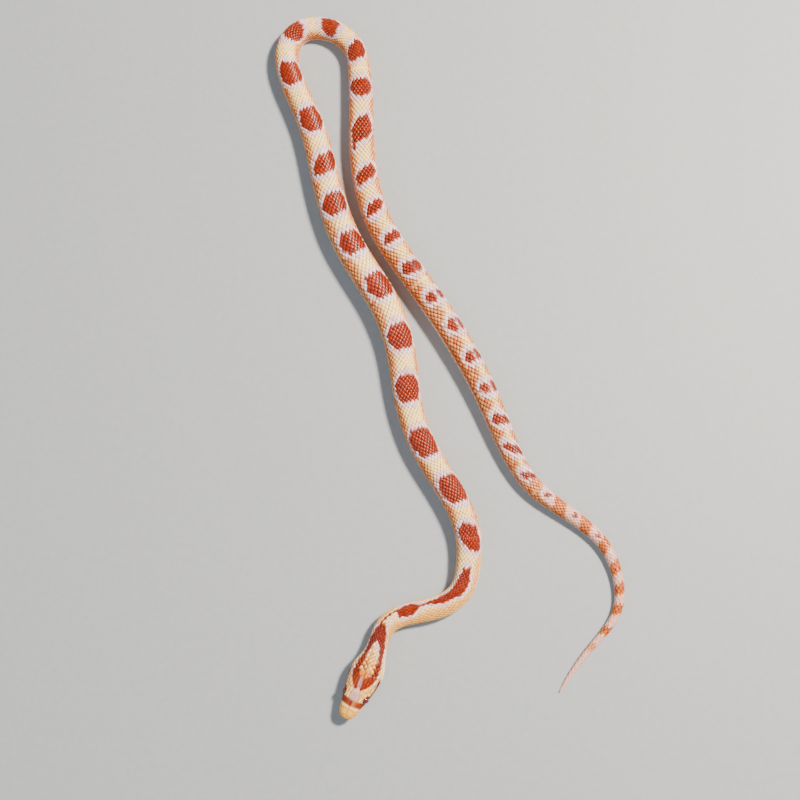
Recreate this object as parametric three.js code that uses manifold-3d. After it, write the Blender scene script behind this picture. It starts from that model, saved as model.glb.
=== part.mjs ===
// A life-size amelanistic corn snake, lying flat on the ground in one long curve.
// The body is a loaf-shaped section carried along a smooth route from the snout to the tail tip,
// parted into lengths by thin cuts. Millimetres, +Z up, the belly rests on z = 0.

import * as THREE from "three";
import { mergeVertices } from "three/addons/utils/BufferGeometryUtils.js";
import Module from "manifold-3d";

const wasm = await Module();
wasm.setup();

// The route's guide points in plan, from the snout to the tip of the tail (x to the right, y away)
const ROUTE_GUIDES = [
  [-37, -130], [-33, -122], [-29, -114], [-25.5, -106], [-23.5, -97], [-14, -93.5], [-4.5, -92.5],
  [5.5, -87], [7.5, -75], [7.5, -62.5], [-0.5, -47.5], [-10.5, -33], [-15.5, -15], [-16.5, 2.5],
  [-23, 21.5], [-38.5, 42.5], [-45.5, 66.5], [-50, 88.5], [-58, 104.5], [-62.5, 117.5],
  [-58.5, 128], [-49.5, 130.5], [-40.5, 128], [-34, 121], [-33, 111.5], [-32, 97.5], [-32.5, 78],
  [-27.5, 51.5], [-13, 31.5], [1, 11], [13.5, -11.5], [21, -32], [29, -48.5], [43.5, -58],
  [56.5, -67.5], [62, -82], [61, -95], [50.5, -105.5], [43, -115], [39, -121.5],
];
const ROUTE_STEPS_PER_GUIDE = 60;

// Girth of the neck, trunk and tail: [distance from the snout, half width, height]
const GIRTHS = [
  [24, 4.25, 7.3], [30, 3.55, 6.3], [38, 3.8, 6.6], [52, 4.15, 7.2], [72, 4.45, 7.8],
  [95, 4.85, 8.5], [130, 4.95, 8.7], [158, 5.5, 9.6], [185, 5.8, 10], [225, 5.55, 9.6],
  [256, 5, 8.8], [285, 4.75, 8.3], [305, 4.25, 7.6], [321, 4.2, 7.5], [340, 4.75, 8.3],
  [385, 5.05, 8.8], [428, 5, 8.6], [459, 4.7, 8.1], [480, 4.2, 7.3], [496, 3.65, 6.4],
  [508, 3.3, 5.7], [520, 2.85, 4.9], [541, 2.25, 3.9], [565, 1.7, 2.9], [584, 1.2, 2.1],
  [595, 0.75, 1.3], [600, 0.3, 0.55],
];

// The head seen from above, from the side and from the front:
// [distance from the snout, half width, height of the crown, height of the chin]
const HEAD_SHAPE = [
  [0, 1.3, 3.9, 2.5], [0.5, 2, 4.5, 1.9], [1.5, 2.75, 5.1, 1.35], [3, 3.4, 5.6, 0.95],
  [5, 3.95, 6.15, 0.65], [7, 4.45, 6.7, 0.5], [9, 4.9, 7.15, 0.4], [12, 5.45, 7.6, 0.3],
  [15, 5.95, 7.9, 0.2], [17, 6.1, 8, 0.15], [19.5, 5.8, 7.95, 0.1], [22, 5, 7.65, 0.05],
  [24, 4.25, 7.3, 0],
];
const HEAD_END = 24;
const HEAD_LIFT = 1.35;
const HEAD_TILT = 6;
const NECK_SETTLES_AT = 50;

// The mouth line seen from the side: [distance from the snout, height]
const MOUTH_LINE = [[0, 2.75], [3, 2.55], [7, 2.6], [11, 2.85], [14.5, 3.4], [17.4, 4.3]];
const JAW_START = 0.95;
const JAW_END = 17.6;
const JAW_INSET = 0.3;

const EYE_RADIUS = 1.4;
const EYE_DISTANCE = 9;
const EYE_ANGLE = 21;
const EYE_SINK = 0.65;

// The shape of a section: roundness of the back, squareness of the belly, height of the widest line
const BACK_ROUNDNESS = 2.15;
const BELLY_SQUARENESS = 2.9;
const WIDEST_AT = 0.46;
const BELLY_FLATTENING = 0.06;

// The belly is a strip of broad overlapping scutes, each low in front and proud at its rear edge
const BELLY_HALF_ANGLE = 62;
const BELLY_COLUMNS = 6;
const BACK_COLUMNS = 10;
const SCUTE_PITCH_TO_WIDTH = 0.48;
const SCUTE_SHORTEST = 3.1;
const SCUTE_STEP = 0.3;
const SCUTE_LIP = 0.3;
const SCUTE_CREST = 0.55;
const SCUTE_VARIATION = 0.08;

// How far the line of the back leans to the animal's left: [distance from the snout, degrees]
const BACK_LEANS = [
  [24, 0], [34, -8], [44, -22], [54, -34], [66, -19], [86, 0], [103, 15], [122, 9], [144, 8],
  [164, 12], [186, 18], [204, 18], [221, 7], [237, 15], [255, 9], [277, 7], [294, -8],
  [307, 0], [323, 0], [338, -3], [386, -4], [400, -18], [413, -12], [427, -25], [440, -34],
  [454, -27], [467, -27], [479, -18], [501, -18], [530, -12], [570, -5], [600, 0],
];

const NODE_GAP = 0.3;

// Head shields: each stands proud of the head with its root sunk well in
const SHIELD_RAISE = 0.2;
const SHIELD_CROWN = 0.32;
const SHIELD_ROOT = 0.6;
const SHIELD_BEVEL = 0.93;
const SHIELD_MIDDLE = 0.5;
const BROAD_SHIELD = 2.6;

// Shields of the crown: corners as [distance from the snout, distance left of the midline]
const MIDLINE_SHIELDS = {
  rostral: [[0.25, -1.1], [0.25, 1.1], [1.15, 1.35], [1.85, 0], [1.15, -1.35]],
  frontal: [[7.3, -1.5], [7.3, 1.5], [9.6, 1.35], [11, 1.15], [12.3, 0], [11, -1.15], [9.6, -1.35]],
};
const PAIRED_SHIELDS = {
  internasal: [[2.1, 0.12], [1.4, 1.5], [2.4, 2.2], [3.7, 2.1], [3.65, 0.12]],
  prefrontal: [[3.9, 0.12], [3.95, 2.2], [4.7, 3.2], [6.8, 3.2], [7.2, 1.65], [7.05, 0.12]],
  supraocular: [[7.5, 1.8], [7.1, 3.0], [8.6, 3.7], [10.6, 3.8], [11.5, 2.9], [10.9, 1.45]],
  parietal: [[12.6, 0.14], [11.3, 1.5], [11.8, 2.9], [12.7, 3.9], [15, 4], [17.2, 2.3], [16.9, 0.14]],
};

// Shields of each cheek: corners as [distance from the snout, degrees above the widest line]
const CHEEK_SHIELDS = {
  nasal_front: [[0.9, 14], [0.95, 42], [2.1, 48], [2.2, 14]],
  nasal_rear: [[2.5, 14], [2.45, 46], [3.7, 44], [3.9, 15]],
  loreal: [[4.2, 16], [4.1, 40], [6, 42], [6.1, 16]],
  preocular: [[6.4, 16], [6.3, 45], [7.1, 48], [7.2, 18]],
  postocular_upper: [[10.5, 34], [10.6, 50], [11.6, 48], [11.7, 33]],
  postocular_lower: [[10.4, 15], [10.5, 30], [11.7, 29], [11.8, 14]],
  temporal_upper: [[12.1, 31], [12.1, 43], [14.7, 41], [15.1, 28]],
  temporal_lower: [[12.2, 12], [12.2, 27], [15, 24], [15.2, 10]],
  temporal_rear_upper: [[15.4, 27], [15.1, 41], [17.7, 46], [17.9, 26]],
  temporal_rear_lower: [[15.6, 9], [15.5, 23], [17.9, 22], [18, 8]],
};

// Lip shields lie in a row above and a row below the mouth line; the edges are distances
const UPPER_LIP_EDGES = [1, 2.6, 4.2, 6, 7.8, 9.8, 12, 14.5, 17];
const UPPER_LIP_HEIGHT = 1.3;
const LOWER_LIP_EDGES = [1.6, 3, 4.4, 5.9, 7.5, 9.3, 11.3, 13.4, 15.2, 17];
const LOWER_LIP_HEIGHT = 1.05;
const LIP_SEAM = 0.16;
const CHIN_SHIELDS = {
  chin_front: [[2.6, -86], [2.8, -62], [5.6, -60], [5.9, -86]],
  chin_rear: [[6.2, -86], [6, -62], [8.8, -62], [9.6, -84]],
};

const NOSTRIL_RADIUS = 0.36;
const NOSTRIL_DISTANCE = 2.35;
const NOSTRIL_ANGLE = 32;

// The lengths that the body is parted into: [name, start, end] along the route
const LENGTHS = [
  ["neck", 24, 46], ["throat_bend", 46, 72], ["torso_front_bend", 72, 103],
  ["torso_front", 103, 144], ["torso_fore_middle", 144, 184], ["torso_middle", 184, 228],
  ["torso_rear_middle", 228, 272], ["torso_loop_first", 272, 303],
  ["torso_loop_second", 303, 334], ["torso_after_loop", 334, 378],
  ["torso_hind_middle", 378, 420], ["torso_hind", 420, 466], ["torso_vent", 466, 508],
  ["tail_base", 508, 540], ["tail_middle", 540, 572], ["tail_tip", 572, 600],
];

const BODY_COLOUR = "#d9825a";
const HEAD_COLOUR = "#d98a5c";
const JAW_COLOUR = "#f0dcc0";
const TAIL_COLOUR = "#e09a78";
const EYE_COLOUR = "#6e1f28";

// A value read from rows of [distance, value, ...] by a smooth monotone curve
function readProfile(rows, distance, column) {
  const last = rows.length - 1;
  if (distance <= rows[0][0]) return rows[0][column];
  if (distance >= rows[last][0]) return rows[last][column];
  let i = 0;
  while (rows[i + 1][0] < distance) i += 1;
  const slope = (k) => {
    if (k <= 0 || k >= last) return 0;
    const before = (rows[k][column] - rows[k - 1][column]) / (rows[k][0] - rows[k - 1][0]);
    const after = (rows[k + 1][column] - rows[k][column]) / (rows[k + 1][0] - rows[k][0]);
    if (before * after <= 0) return 0;
    return (2 * before * after) / (before + after);
  };
  const endSlope = (k, inner) => {
    const chord = (rows[i + 1][column] - rows[i][column]) / (rows[i + 1][0] - rows[i][0]);
    return k === 0 || k === last ? 1.5 * chord - 0.5 * slope(inner) : slope(k);
  };
  const span = rows[i + 1][0] - rows[i][0];
  const t = (distance - rows[i][0]) / span;
  const startTangent = endSlope(i, i + 1) * span;
  const endTangent = endSlope(i + 1, i) * span;
  const t2 = t * t;
  const t3 = t2 * t;
  return (2 * t3 - 3 * t2 + 1) * rows[i][column] + (t3 - 2 * t2 + t) * startTangent
    + (3 * t2 - 2 * t3) * rows[i + 1][column] + (t3 - t2) * endTangent;
}

function smoothStep(from, to, value) {
  const t = Math.min(Math.max((value - from) / (to - from), 0), 1);
  return t * t * (3 - 2 * t);
}

function signedPower(value, power) {
  return Math.sign(value) * Math.abs(value) ** power;
}

// The route is a uniform cubic B-spline drawn by the guide points
function splinePoint(parameter) {
  const count = ROUTE_GUIDES.length;
  const i = Math.min(Math.floor(parameter), count - 2);
  const f = parameter - i;
  const weights = [
    (1 - f) ** 3 / 6,
    (3 * f ** 3 - 6 * f ** 2 + 4) / 6,
    (-3 * f ** 3 + 3 * f ** 2 + 3 * f + 1) / 6,
    f ** 3 / 6,
  ];
  const guide = (k) => {
    const inside = Math.min(Math.max(k, 0), count - 1);
    const inner = k < 0 ? 1 : count - 2;
    const [x, y] = ROUTE_GUIDES[inside];
    if (k === inside) return [x, y];
    return [2 * x - ROUTE_GUIDES[inner][0], 2 * y - ROUTE_GUIDES[inner][1]];
  };
  const point = new THREE.Vector2();
  weights.forEach((weight, j) => {
    const [x, y] = guide(i - 1 + j);
    point.x += weight * x;
    point.y += weight * y;
  });
  return point;
}

// Points along the route with the distance travelled from the snout
const ROUTE = [];
for (let k = 0; k <= (ROUTE_GUIDES.length - 1) * ROUTE_STEPS_PER_GUIDE; k += 1) {
  const point = splinePoint(k / ROUTE_STEPS_PER_GUIDE);
  const before = ROUTE[k - 1];
  const distance = before ? before.distance + point.distanceTo(before.point) : 0;
  ROUTE.push({ point, distance });
}
const ROUTE_LENGTH = ROUTE[ROUTE.length - 1].distance;
const BODY_LENGTH = GIRTHS[GIRTHS.length - 1][0];

// Place and direction on the route at a distance from the snout; the direction points tailward
function routeAt(distance) {
  const travelled = (distance * ROUTE_LENGTH) / BODY_LENGTH;
  let i = ROUTE.findIndex((entry) => entry.distance > travelled) - 1;
  if (i < 0) i = travelled <= 0 ? 0 : ROUTE.length - 2;
  const from = ROUTE[i];
  const to = ROUTE[i + 1];
  const t = (travelled - from.distance) / (to.distance - from.distance);
  const point = from.point.clone().lerp(to.point, t);
  const before = ROUTE[Math.max(i - 1, 0)].point;
  const after = ROUTE[Math.min(i + 2, ROUTE.length - 1)].point;
  const direction = after.clone().sub(before).normalize();
  return { point, direction };
}

// A point of a loaf-shaped section: across to the animal's left, and up from the belly
function loafPoint(angle, halfWidth, height) {
  const middle = height * WIDEST_AT;
  const c = Math.cos(angle);
  const s = Math.sin(angle);
  if (s >= 0) {
    return [
      halfWidth * signedPower(c, 2 / BACK_ROUNDNESS),
      middle + (height - middle) * s ** (2 / BACK_ROUNDNESS),
    ];
  }
  const drop = (middle + height * BELLY_FLATTENING) * (-s) ** (2 / BELLY_SQUARENESS);
  return [halfWidth * signedPower(c, 2 / BELLY_SQUARENESS), Math.max(middle - drop, 0)];
}

// Half width, height, lift from the ground and sideways tilt of the section at a distance
function sectionAt(distance) {
  const inHead = distance < HEAD_END;
  const settled = smoothStep(HEAD_END - 2, NECK_SETTLES_AT, distance);
  const chin = readProfile(HEAD_SHAPE, distance, 3);
  const crown = readProfile(HEAD_SHAPE, distance, 2);
  return {
    halfWidth: inHead
      ? readProfile(HEAD_SHAPE, distance, 1)
      : readProfile(GIRTHS, distance, 1),
    height: inHead ? crown - chin : readProfile(GIRTHS, distance, 2),
    lift: HEAD_LIFT * (1 - settled) + (inHead ? chin : 0),
    tilt: THREE.MathUtils.degToRad(HEAD_TILT) * (1 - settled),
  };
}

// Turns a point of the section at a distance into a point of the whole animal
function placeOnRoute(distance, across, up) {
  const { point, direction } = routeAt(distance);
  const { height, lift, tilt } = sectionAt(distance);
  const pivot = height / 2;
  const turnedAcross = across * Math.cos(tilt) - (up - pivot) * Math.sin(tilt);
  const turnedUp = pivot + across * Math.sin(tilt) + (up - pivot) * Math.cos(tilt);
  return new THREE.Vector3(
    point.x + direction.y * turnedAcross,
    point.y - direction.x * turnedAcross,
    Math.max(lift + turnedUp, 0),
  );
}

function geometryFrom(points, triangles) {
  const geometry = new THREE.BufferGeometry();
  const positions = points.flatMap((point) => [point.x, point.y, point.z]);
  geometry.setAttribute("position", new THREE.Float32BufferAttribute(positions, 3));
  geometry.setIndex(triangles);
  return geometry;
}

// Closes a ring of point numbers with triangles about its middle
function closeWithFan(points, triangles, ring, isTailEnd) {
  const centre = new THREE.Vector3();
  for (const corner of ring) centre.add(points[corner]);
  points.push(centre.divideScalar(ring.length));
  ring.forEach((corner, j) => {
    const next = ring[(j + 1) % ring.length];
    const pair = isTailEnd ? [next, corner] : [corner, next];
    triangles.push(points.length - 1, ...pair);
  });
}

// A closed body through rings of points that run alike, its two ends closed by fans
function loft(rings) {
  const points = rings.flat();
  const around = rings[0].length;
  const triangles = [];
  for (let i = 0; i + 1 < rings.length; i += 1) {
    for (let j = 0; j < around; j += 1) {
      const next = (j + 1) % around;
      const here = i * around;
      const there = here + around;
      triangles.push(here + j, there + j, here + next);
      triangles.push(here + next, there + j, there + next);
    }
  }
  const ringAt = (start) => rings[0].map((point, j) => start + j);
  closeWithFan(points, triangles, ringAt(0), false);
  closeWithFan(points, triangles, ringAt((rings.length - 1) * around), true);
  return geometryFrom(points, triangles);
}

// A repeatable stream of numbers between 0 and 1
function seededDraw(seed) {
  let state = seed;
  return () => {
    state = (state * 1664525 + 1013904223) % 4294967296;
    return state / 4294967296;
  };
}

function bodyPoint(distance, degreesFromBelly, inset) {
  const { halfWidth, height } = sectionAt(distance);
  const lean = readProfile(BACK_LEANS, distance, 1);
  const angle = THREE.MathUtils.degToRad(degreesFromBelly - 90 - lean);
  const wrapped = Math.atan2(Math.sin(angle), Math.cos(angle));
  const [across, up] = loafPoint(wrapped, halfWidth, height);
  return placeOnRoute(
    distance,
    across - inset * Math.cos(wrapped),
    up - inset * Math.sin(wrapped),
  );
}

// The rear edges of the scutes between two distances, their pitch varied a little
function scuteEdges(start, end, draw) {
  const width = 2 * sectionAt((start + end) / 2).halfWidth;
  const pitch = Math.max(SCUTE_PITCH_TO_WIDTH * width, SCUTE_SHORTEST);
  const count = Math.max(3, Math.round((end - start) / pitch));
  const edges = [start];
  for (let i = 1; i < count; i += 1) {
    const drift = (draw() - 0.5) * SCUTE_VARIATION * pitch;
    edges.push(start + ((end - start) * i) / count + drift);
  }
  edges.push(end);
  return edges;
}

// A length of the body: three belly rows for each scute, joined to one row over the back
function bodyLength(start, end, draw) {
  const edges = scuteEdges(start, end, draw);
  const points = [];
  const triangles = [];
  const bellyRows = [];
  const backRows = [];
  const bellyStep = (2 * BELLY_HALF_ANGLE) / BELLY_COLUMNS;
  const backStep = (360 - 2 * BELLY_HALF_ANGLE) / BACK_COLUMNS;
  const addBellyRow = (distance, inset) => {
    const row = [];
    for (let j = 0; j <= BELLY_COLUMNS; j += 1) {
      const edgeShare = j === 0 || j === BELLY_COLUMNS ? 0.4 : 1;
      row.push(points.length);
      points.push(bodyPoint(distance, -BELLY_HALF_ANGLE + j * bellyStep, inset * edgeShare));
    }
    bellyRows.push(row);
  };
  const addBackRow = (distance) => {
    const row = [];
    for (let j = 1; j < BACK_COLUMNS; j += 1) {
      row.push(points.length);
      points.push(bodyPoint(distance, BELLY_HALF_ANGLE + j * backStep, 0));
    }
    backRows.push(row);
  };
  for (let i = 0; i + 1 < edges.length; i += 1) {
    const step = Math.min(SCUTE_STEP, 0.08 * sectionAt(edges[i]).height);
    const length = edges[i + 1] - edges[i];
    addBackRow(edges[i]);
    addBellyRow(edges[i], step);
    addBellyRow(edges[i] + SCUTE_CREST * length, 0);
    addBellyRow(edges[i + 1] - SCUTE_LIP, 0);
  }
  addBackRow(end);
  addBellyRow(end, 0);

  const addQuads = (here, there) => {
    for (let j = 0; j + 1 < here.length; j += 1) {
      triangles.push(here[j], there[j], here[j + 1]);
      triangles.push(here[j + 1], there[j], there[j + 1]);
    }
  };
  for (let i = 0; i + 1 < bellyRows.length; i += 1) addQuads(bellyRows[i], bellyRows[i + 1]);
  for (let i = 0; i + 1 < backRows.length; i += 1) {
    addQuads(backRows[i], backRows[i + 1]);
    const chain = (column) => bellyRows.slice(3 * i, 3 * i + 4).map((row) => row[column]);
    const [a0, a1, a2, a3] = chain(BELLY_COLUMNS);
    const [a4, a5] = [backRows[i][0], backRows[i + 1][0]];
    triangles.push(a4, a0, a1, a4, a1, a2, a4, a2, a5, a2, a3, a5);
    const [b0, b1, b2, b3] = chain(0);
    const [b4, b5] = [backRows[i].at(-1), backRows[i + 1].at(-1)];
    triangles.push(b4, b5, b2, b5, b3, b2, b4, b2, b1, b4, b1, b0);
  }
  closeWithFan(points, triangles, [...bellyRows[0], ...backRows[0]], false);
  closeWithFan(points, triangles, [...bellyRows.at(-1), ...backRows.at(-1)], true);
  return geometryFrom(points, triangles);
}

// The height of the mouth line, nearly level at the snout and rising towards its corner
function mouthHeight(distance) {
  return readProfile(MOUTH_LINE, distance, 1);
}

function solidFrom(geometry) {
  const bare = geometry.index ? geometry.toNonIndexed() : geometry.clone();
  bare.deleteAttribute("normal");
  bare.deleteAttribute("uv");
  const merged = mergeVertices(bare, 1e-5);
  return new wasm.Manifold(new wasm.Mesh({
    numProp: 3,
    vertProperties: new Float32Array(merged.attributes.position.array),
    triVerts: new Uint32Array(merged.index.array),
  }));
}

function geometryFromSolid(solid) {
  const pieces = solid.decompose();
  const largest = pieces.reduce((best, piece) => (piece.volume() > best.volume() ? piece : best));
  const mesh = largest.getMesh();
  const geometry = new THREE.BufferGeometry();
  geometry.setAttribute("position", new THREE.BufferAttribute(mesh.vertProperties, 3));
  geometry.setIndex(Array.from(mesh.triVerts));
  return geometry;
}

const HEAD_STATIONS = [0, 0.5, 1.5, 3, 5, 7, 9, 11, 13, 15, 17, 19, 20.5, 22, 24];
const HEAD_POINTS = 20;

function headRing(distance) {
  const { halfWidth, height } = sectionAt(distance);
  const ring = [];
  for (let j = 0; j < HEAD_POINTS; j += 1) {
    const angle = (2 * Math.PI * (j + 0.5)) / HEAD_POINTS;
    ring.push(placeOnRoute(distance, ...loafPoint(angle, halfWidth, height)));
  }
  return ring;
}

// A ring of the lower jaw: flat along the mouth line and round below it
function jawRing(distance) {
  const { halfWidth, height } = sectionAt(distance);
  const chin = readProfile(HEAD_SHAPE, distance, 3);
  const top = mouthHeight(distance) - chin - NODE_GAP / 2;
  const inset = Math.min(JAW_INSET, 0.2 * halfWidth);
  const ring = [];
  for (let j = 0; j < HEAD_POINTS; j += 1) {
    const angle = (2 * Math.PI * (j + 0.5)) / HEAD_POINTS;
    const [across, up] = loafPoint(angle, halfWidth - inset, height);
    ring.push(placeOnRoute(distance, across, Math.min(up, top)));
  }
  return ring;
}

// All below the mouth line, wider than the head and grown past the line and the jaw's end
function jawRoom(growth) {
  const rings = [];
  for (const distance of [-2, 0, 1, 2, 4, 6, 8, 10, 12, 14, 16, JAW_END + growth]) {
    const chin = readProfile(HEAD_SHAPE, distance, 3);
    const top = mouthHeight(distance) - chin + growth;
    const side = 9;
    const floor = -4;
    rings.push([[side, top], [-side, top], [-side, floor], [side, floor]].map(([across, up]) => {
      const { point, direction } = routeAt(Math.max(distance, 0));
      const { height, lift, tilt } = sectionAt(Math.max(distance, 0));
      const pivot = height / 2;
      const turnedAcross = across * Math.cos(tilt) - (up - pivot) * Math.sin(tilt);
      const turnedUp = pivot + across * Math.sin(tilt) + (up - pivot) * Math.cos(tilt);
      const ahead = Math.min(distance, 0);
      return new THREE.Vector3(
        point.x + direction.x * ahead + direction.y * turnedAcross,
        point.y + direction.y * ahead - direction.x * turnedAcross,
        lift + turnedUp,
      );
    }));
  }
  return loft(rings);
}

// The head's surface at a distance and angle, moved out along its normal; the jaw lies inset
function headSurface(distance, degrees, outward, inset) {
  const at = (d, angle) => {
    const { halfWidth, height } = sectionAt(d);
    return placeOnRoute(d, ...loafPoint(angle, halfWidth - inset, height));
  };
  const angle = THREE.MathUtils.degToRad(degrees);
  const small = 0.02;
  const point = at(distance, angle);
  const along = at(distance + small, angle).sub(at(distance - small, angle));
  const around = at(distance, angle + small).sub(at(distance, angle - small));
  const normal = along.cross(around).normalize();
  return point.addScaledVector(normal, outward);
}

// One shield: a low bevelled plate over a patch of the head, its root sunk in
function shield(corners, inset) {
  const count = corners.length;
  const middle = [0, 1].map((k) => corners.reduce((sum, corner) => sum + corner[k], 0) / count);
  const ring = (share, outward) => corners.map(([distance, degrees]) => headSurface(
    middle[0] + share * (distance - middle[0]),
    middle[1] + share * (degrees - middle[1]),
    outward,
    inset,
  ));
  const root = ring(1, -SHIELD_ROOT);
  const rim = ring(1, 0);
  const edge = ring(SHIELD_BEVEL, SHIELD_RAISE);
  const crown = ring(SHIELD_MIDDLE, SHIELD_CROWN);
  const span = Math.max(...corners.map(([distance]) => Math.abs(distance - middle[0])));
  const isBroad = 2 * span > BROAD_SHIELD;
  const levels = isBroad ? [root, rim, edge, crown] : [root, rim, edge];
  const points = levels.flat();
  points.push(headSurface(...middle, SHIELD_CROWN, inset));
  points.push(headSurface(...middle, -SHIELD_ROOT, inset));
  const triangles = [];
  const top = levels.length * count;
  for (let j = 0; j < count; j += 1) {
    const next = (j + 1) % count;
    for (let level = 0; level + 1 < levels.length; level += 1) {
      const low = level * count;
      const high = low + count;
      triangles.push(low + j, low + next, high + j);
      triangles.push(low + next, high + next, high + j);
    }
    triangles.push(top - count + j, top - count + next, top);
    triangles.push(next, j, top + 1);
  }
  const solid = solidFrom(geometryFrom(points, triangles));
  if (solid.volume() > 0) return solid;
  const turned = [];
  for (let k = 0; k < triangles.length; k += 3) {
    turned.push(triangles[k], triangles[k + 2], triangles[k + 1]);
  }
  return solidFrom(geometryFrom(points, turned));
}

// The angle at which the head's surface lies a given distance to the side of the midline
function angleAcross(distance, across) {
  const share = Math.min(Math.abs(across) / sectionAt(distance).halfWidth, 1);
  const degrees = THREE.MathUtils.radToDeg(Math.acos(share ** (BACK_ROUNDNESS / 2)));
  return across < 0 ? 180 - degrees : degrees;
}

// The angle at which the head's left surface lies at a given height above the ground of the head
function angleAtHeight(distance, height) {
  const chin = readProfile(HEAD_SHAPE, distance, 3);
  const full = sectionAt(distance).height;
  const middle = full * WIDEST_AT;
  const up = height - chin - middle;
  const reach = up >= 0 ? full - middle : middle + full * BELLY_FLATTENING;
  const power = (up >= 0 ? BACK_ROUNDNESS : BELLY_SQUARENESS) / 2;
  const share = Math.min(Math.abs(up) / reach, 1);
  return Math.sign(up) * THREE.MathUtils.radToDeg(Math.asin(share ** power));
}

// A patch between two distances and two heights along a lip
function lipPatch(from, to, low, high) {
  const at = (distance, height) => [distance, angleAtHeight(distance, mouthHeight(distance) + height)];
  const seam = LIP_SEAM / 2;
  return [at(from + seam, low), at(from + seam, high), at(to - seam, high), at(to - seam, low)];
}

function mirrored(corners) {
  return corners.map(([distance, degrees]) => [distance, 180 - degrees]);
}

function headShields() {
  const byAcross = (corners) => corners.map(([d, across]) => [d, angleAcross(d, across)]);
  const patches = Object.values(MIDLINE_SHIELDS).map(byAcross);
  const paired = Object.values(PAIRED_SHIELDS).map(byAcross);
  paired.push(...Object.values(CHEEK_SHIELDS));
  for (let i = 0; i + 1 < UPPER_LIP_EDGES.length; i += 1) {
    const [from, to] = [UPPER_LIP_EDGES[i], UPPER_LIP_EDGES[i + 1]];
    paired.push(lipPatch(from, to, NODE_GAP, UPPER_LIP_HEIGHT));
  }
  for (const corners of paired) patches.push(corners, mirrored(corners));
  return patches.map((corners) => shield(corners, 0));
}

function jawShields() {
  const paired = Object.values(CHIN_SHIELDS);
  for (let i = 0; i + 1 < LOWER_LIP_EDGES.length; i += 1) {
    const [from, to] = [LOWER_LIP_EDGES[i], LOWER_LIP_EDGES[i + 1]];
    paired.push(lipPatch(from, to, -LOWER_LIP_HEIGHT, -NODE_GAP));
  }
  return paired.flatMap((corners) => [corners, mirrored(corners)])
    .map((corners) => shield(corners, JAW_INSET));
}

function eyeCentre(side) {
  const { halfWidth, height } = sectionAt(EYE_DISTANCE);
  const angle = THREE.MathUtils.degToRad(EYE_ANGLE);
  const [across, up] = loafPoint(angle, halfWidth, height);
  const inward = EYE_RADIUS * EYE_SINK;
  return placeOnRoute(
    EYE_DISTANCE,
    side * (across - inward * Math.cos(angle)),
    up - inward * Math.sin(angle),
  );
}

function ball(centre, radius) {
  return new THREE.SphereGeometry(radius, 16, 10).translate(centre.x, centre.y, centre.z);
}

function leatherMaterial(colour) {
  return new THREE.MeshStandardMaterial({ color: colour, roughness: 0.55, metalness: 0 });
}

function addMesh(group, name, geometry, material) {
  const bare = geometry.clone();
  bare.deleteAttribute("uv");
  bare.computeVertexNormals();
  const mesh = new THREE.Mesh(bare, material);
  mesh.name = name;
  group.add(mesh);
}

const snake = new THREE.Group();

const sides = [["left", 1], ["right", -1]];
let headSolid = solidFrom(loft(HEAD_STATIONS.map(headRing)));
for (const plate of headShields()) headSolid = headSolid.add(plate);
headSolid = headSolid.subtract(solidFrom(jawRoom(NODE_GAP / 2)));
for (const [, side] of sides) {
  headSolid = headSolid.subtract(solidFrom(ball(eyeCentre(side), EYE_RADIUS + NODE_GAP)));
  const nostrilAngle = side > 0 ? NOSTRIL_ANGLE : 180 - NOSTRIL_ANGLE;
  const nostril = headSurface(NOSTRIL_DISTANCE, nostrilAngle, SHIELD_RAISE, 0);
  headSolid = headSolid.subtract(solidFrom(ball(nostril, NOSTRIL_RADIUS)));
}
addMesh(snake, "head", geometryFromSolid(headSolid), leatherMaterial(HEAD_COLOUR));

const jawStations = HEAD_STATIONS.filter((distance) => distance > JAW_START && distance < JAW_END);
let jawSolid = solidFrom(loft([JAW_START, ...jawStations, JAW_END].map(jawRing)));
for (const plate of jawShields()) jawSolid = jawSolid.add(plate);
jawSolid = jawSolid.intersect(solidFrom(jawRoom(-NODE_GAP / 2)));
addMesh(snake, "lower_jaw", geometryFromSolid(jawSolid), leatherMaterial(JAW_COLOUR));

const eyeMaterial = new THREE.MeshStandardMaterial({
  color: EYE_COLOUR, roughness: 0.15, metalness: 0,
});
for (const [name, side] of sides) {
  addMesh(snake, `eye_${name}`, ball(eyeCentre(side), EYE_RADIUS), eyeMaterial);
}

const draw = seededDraw(7);
for (const [name, start, end] of LENGTHS) {
  const colour = name.startsWith("tail") ? TAIL_COLOUR : BODY_COLOUR;
  const stop = end === BODY_LENGTH ? end : end - NODE_GAP / 2;
  addMesh(snake, name, bodyLength(start + NODE_GAP / 2, stop, draw), leatherMaterial(colour));
}

// The whole animal is centred over the origin
const box = new THREE.Box3().setFromObject(snake);
const middle = box.getCenter(new THREE.Vector3());
for (const mesh of snake.children) mesh.position.set(-middle.x, -middle.y, 0);

export default snake;
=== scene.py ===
"""A life-size amelanistic corn snake, dressed over its solids.

One smooth skin follows the animal's route from the snout to the tail tip. Over it lie solid
overlapping scales in rows, broad belly scutes, the shields of the head and two glossy eyes.
Lengths named _MM are millimetres; the meshes are built in metres.
"""

import math

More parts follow.
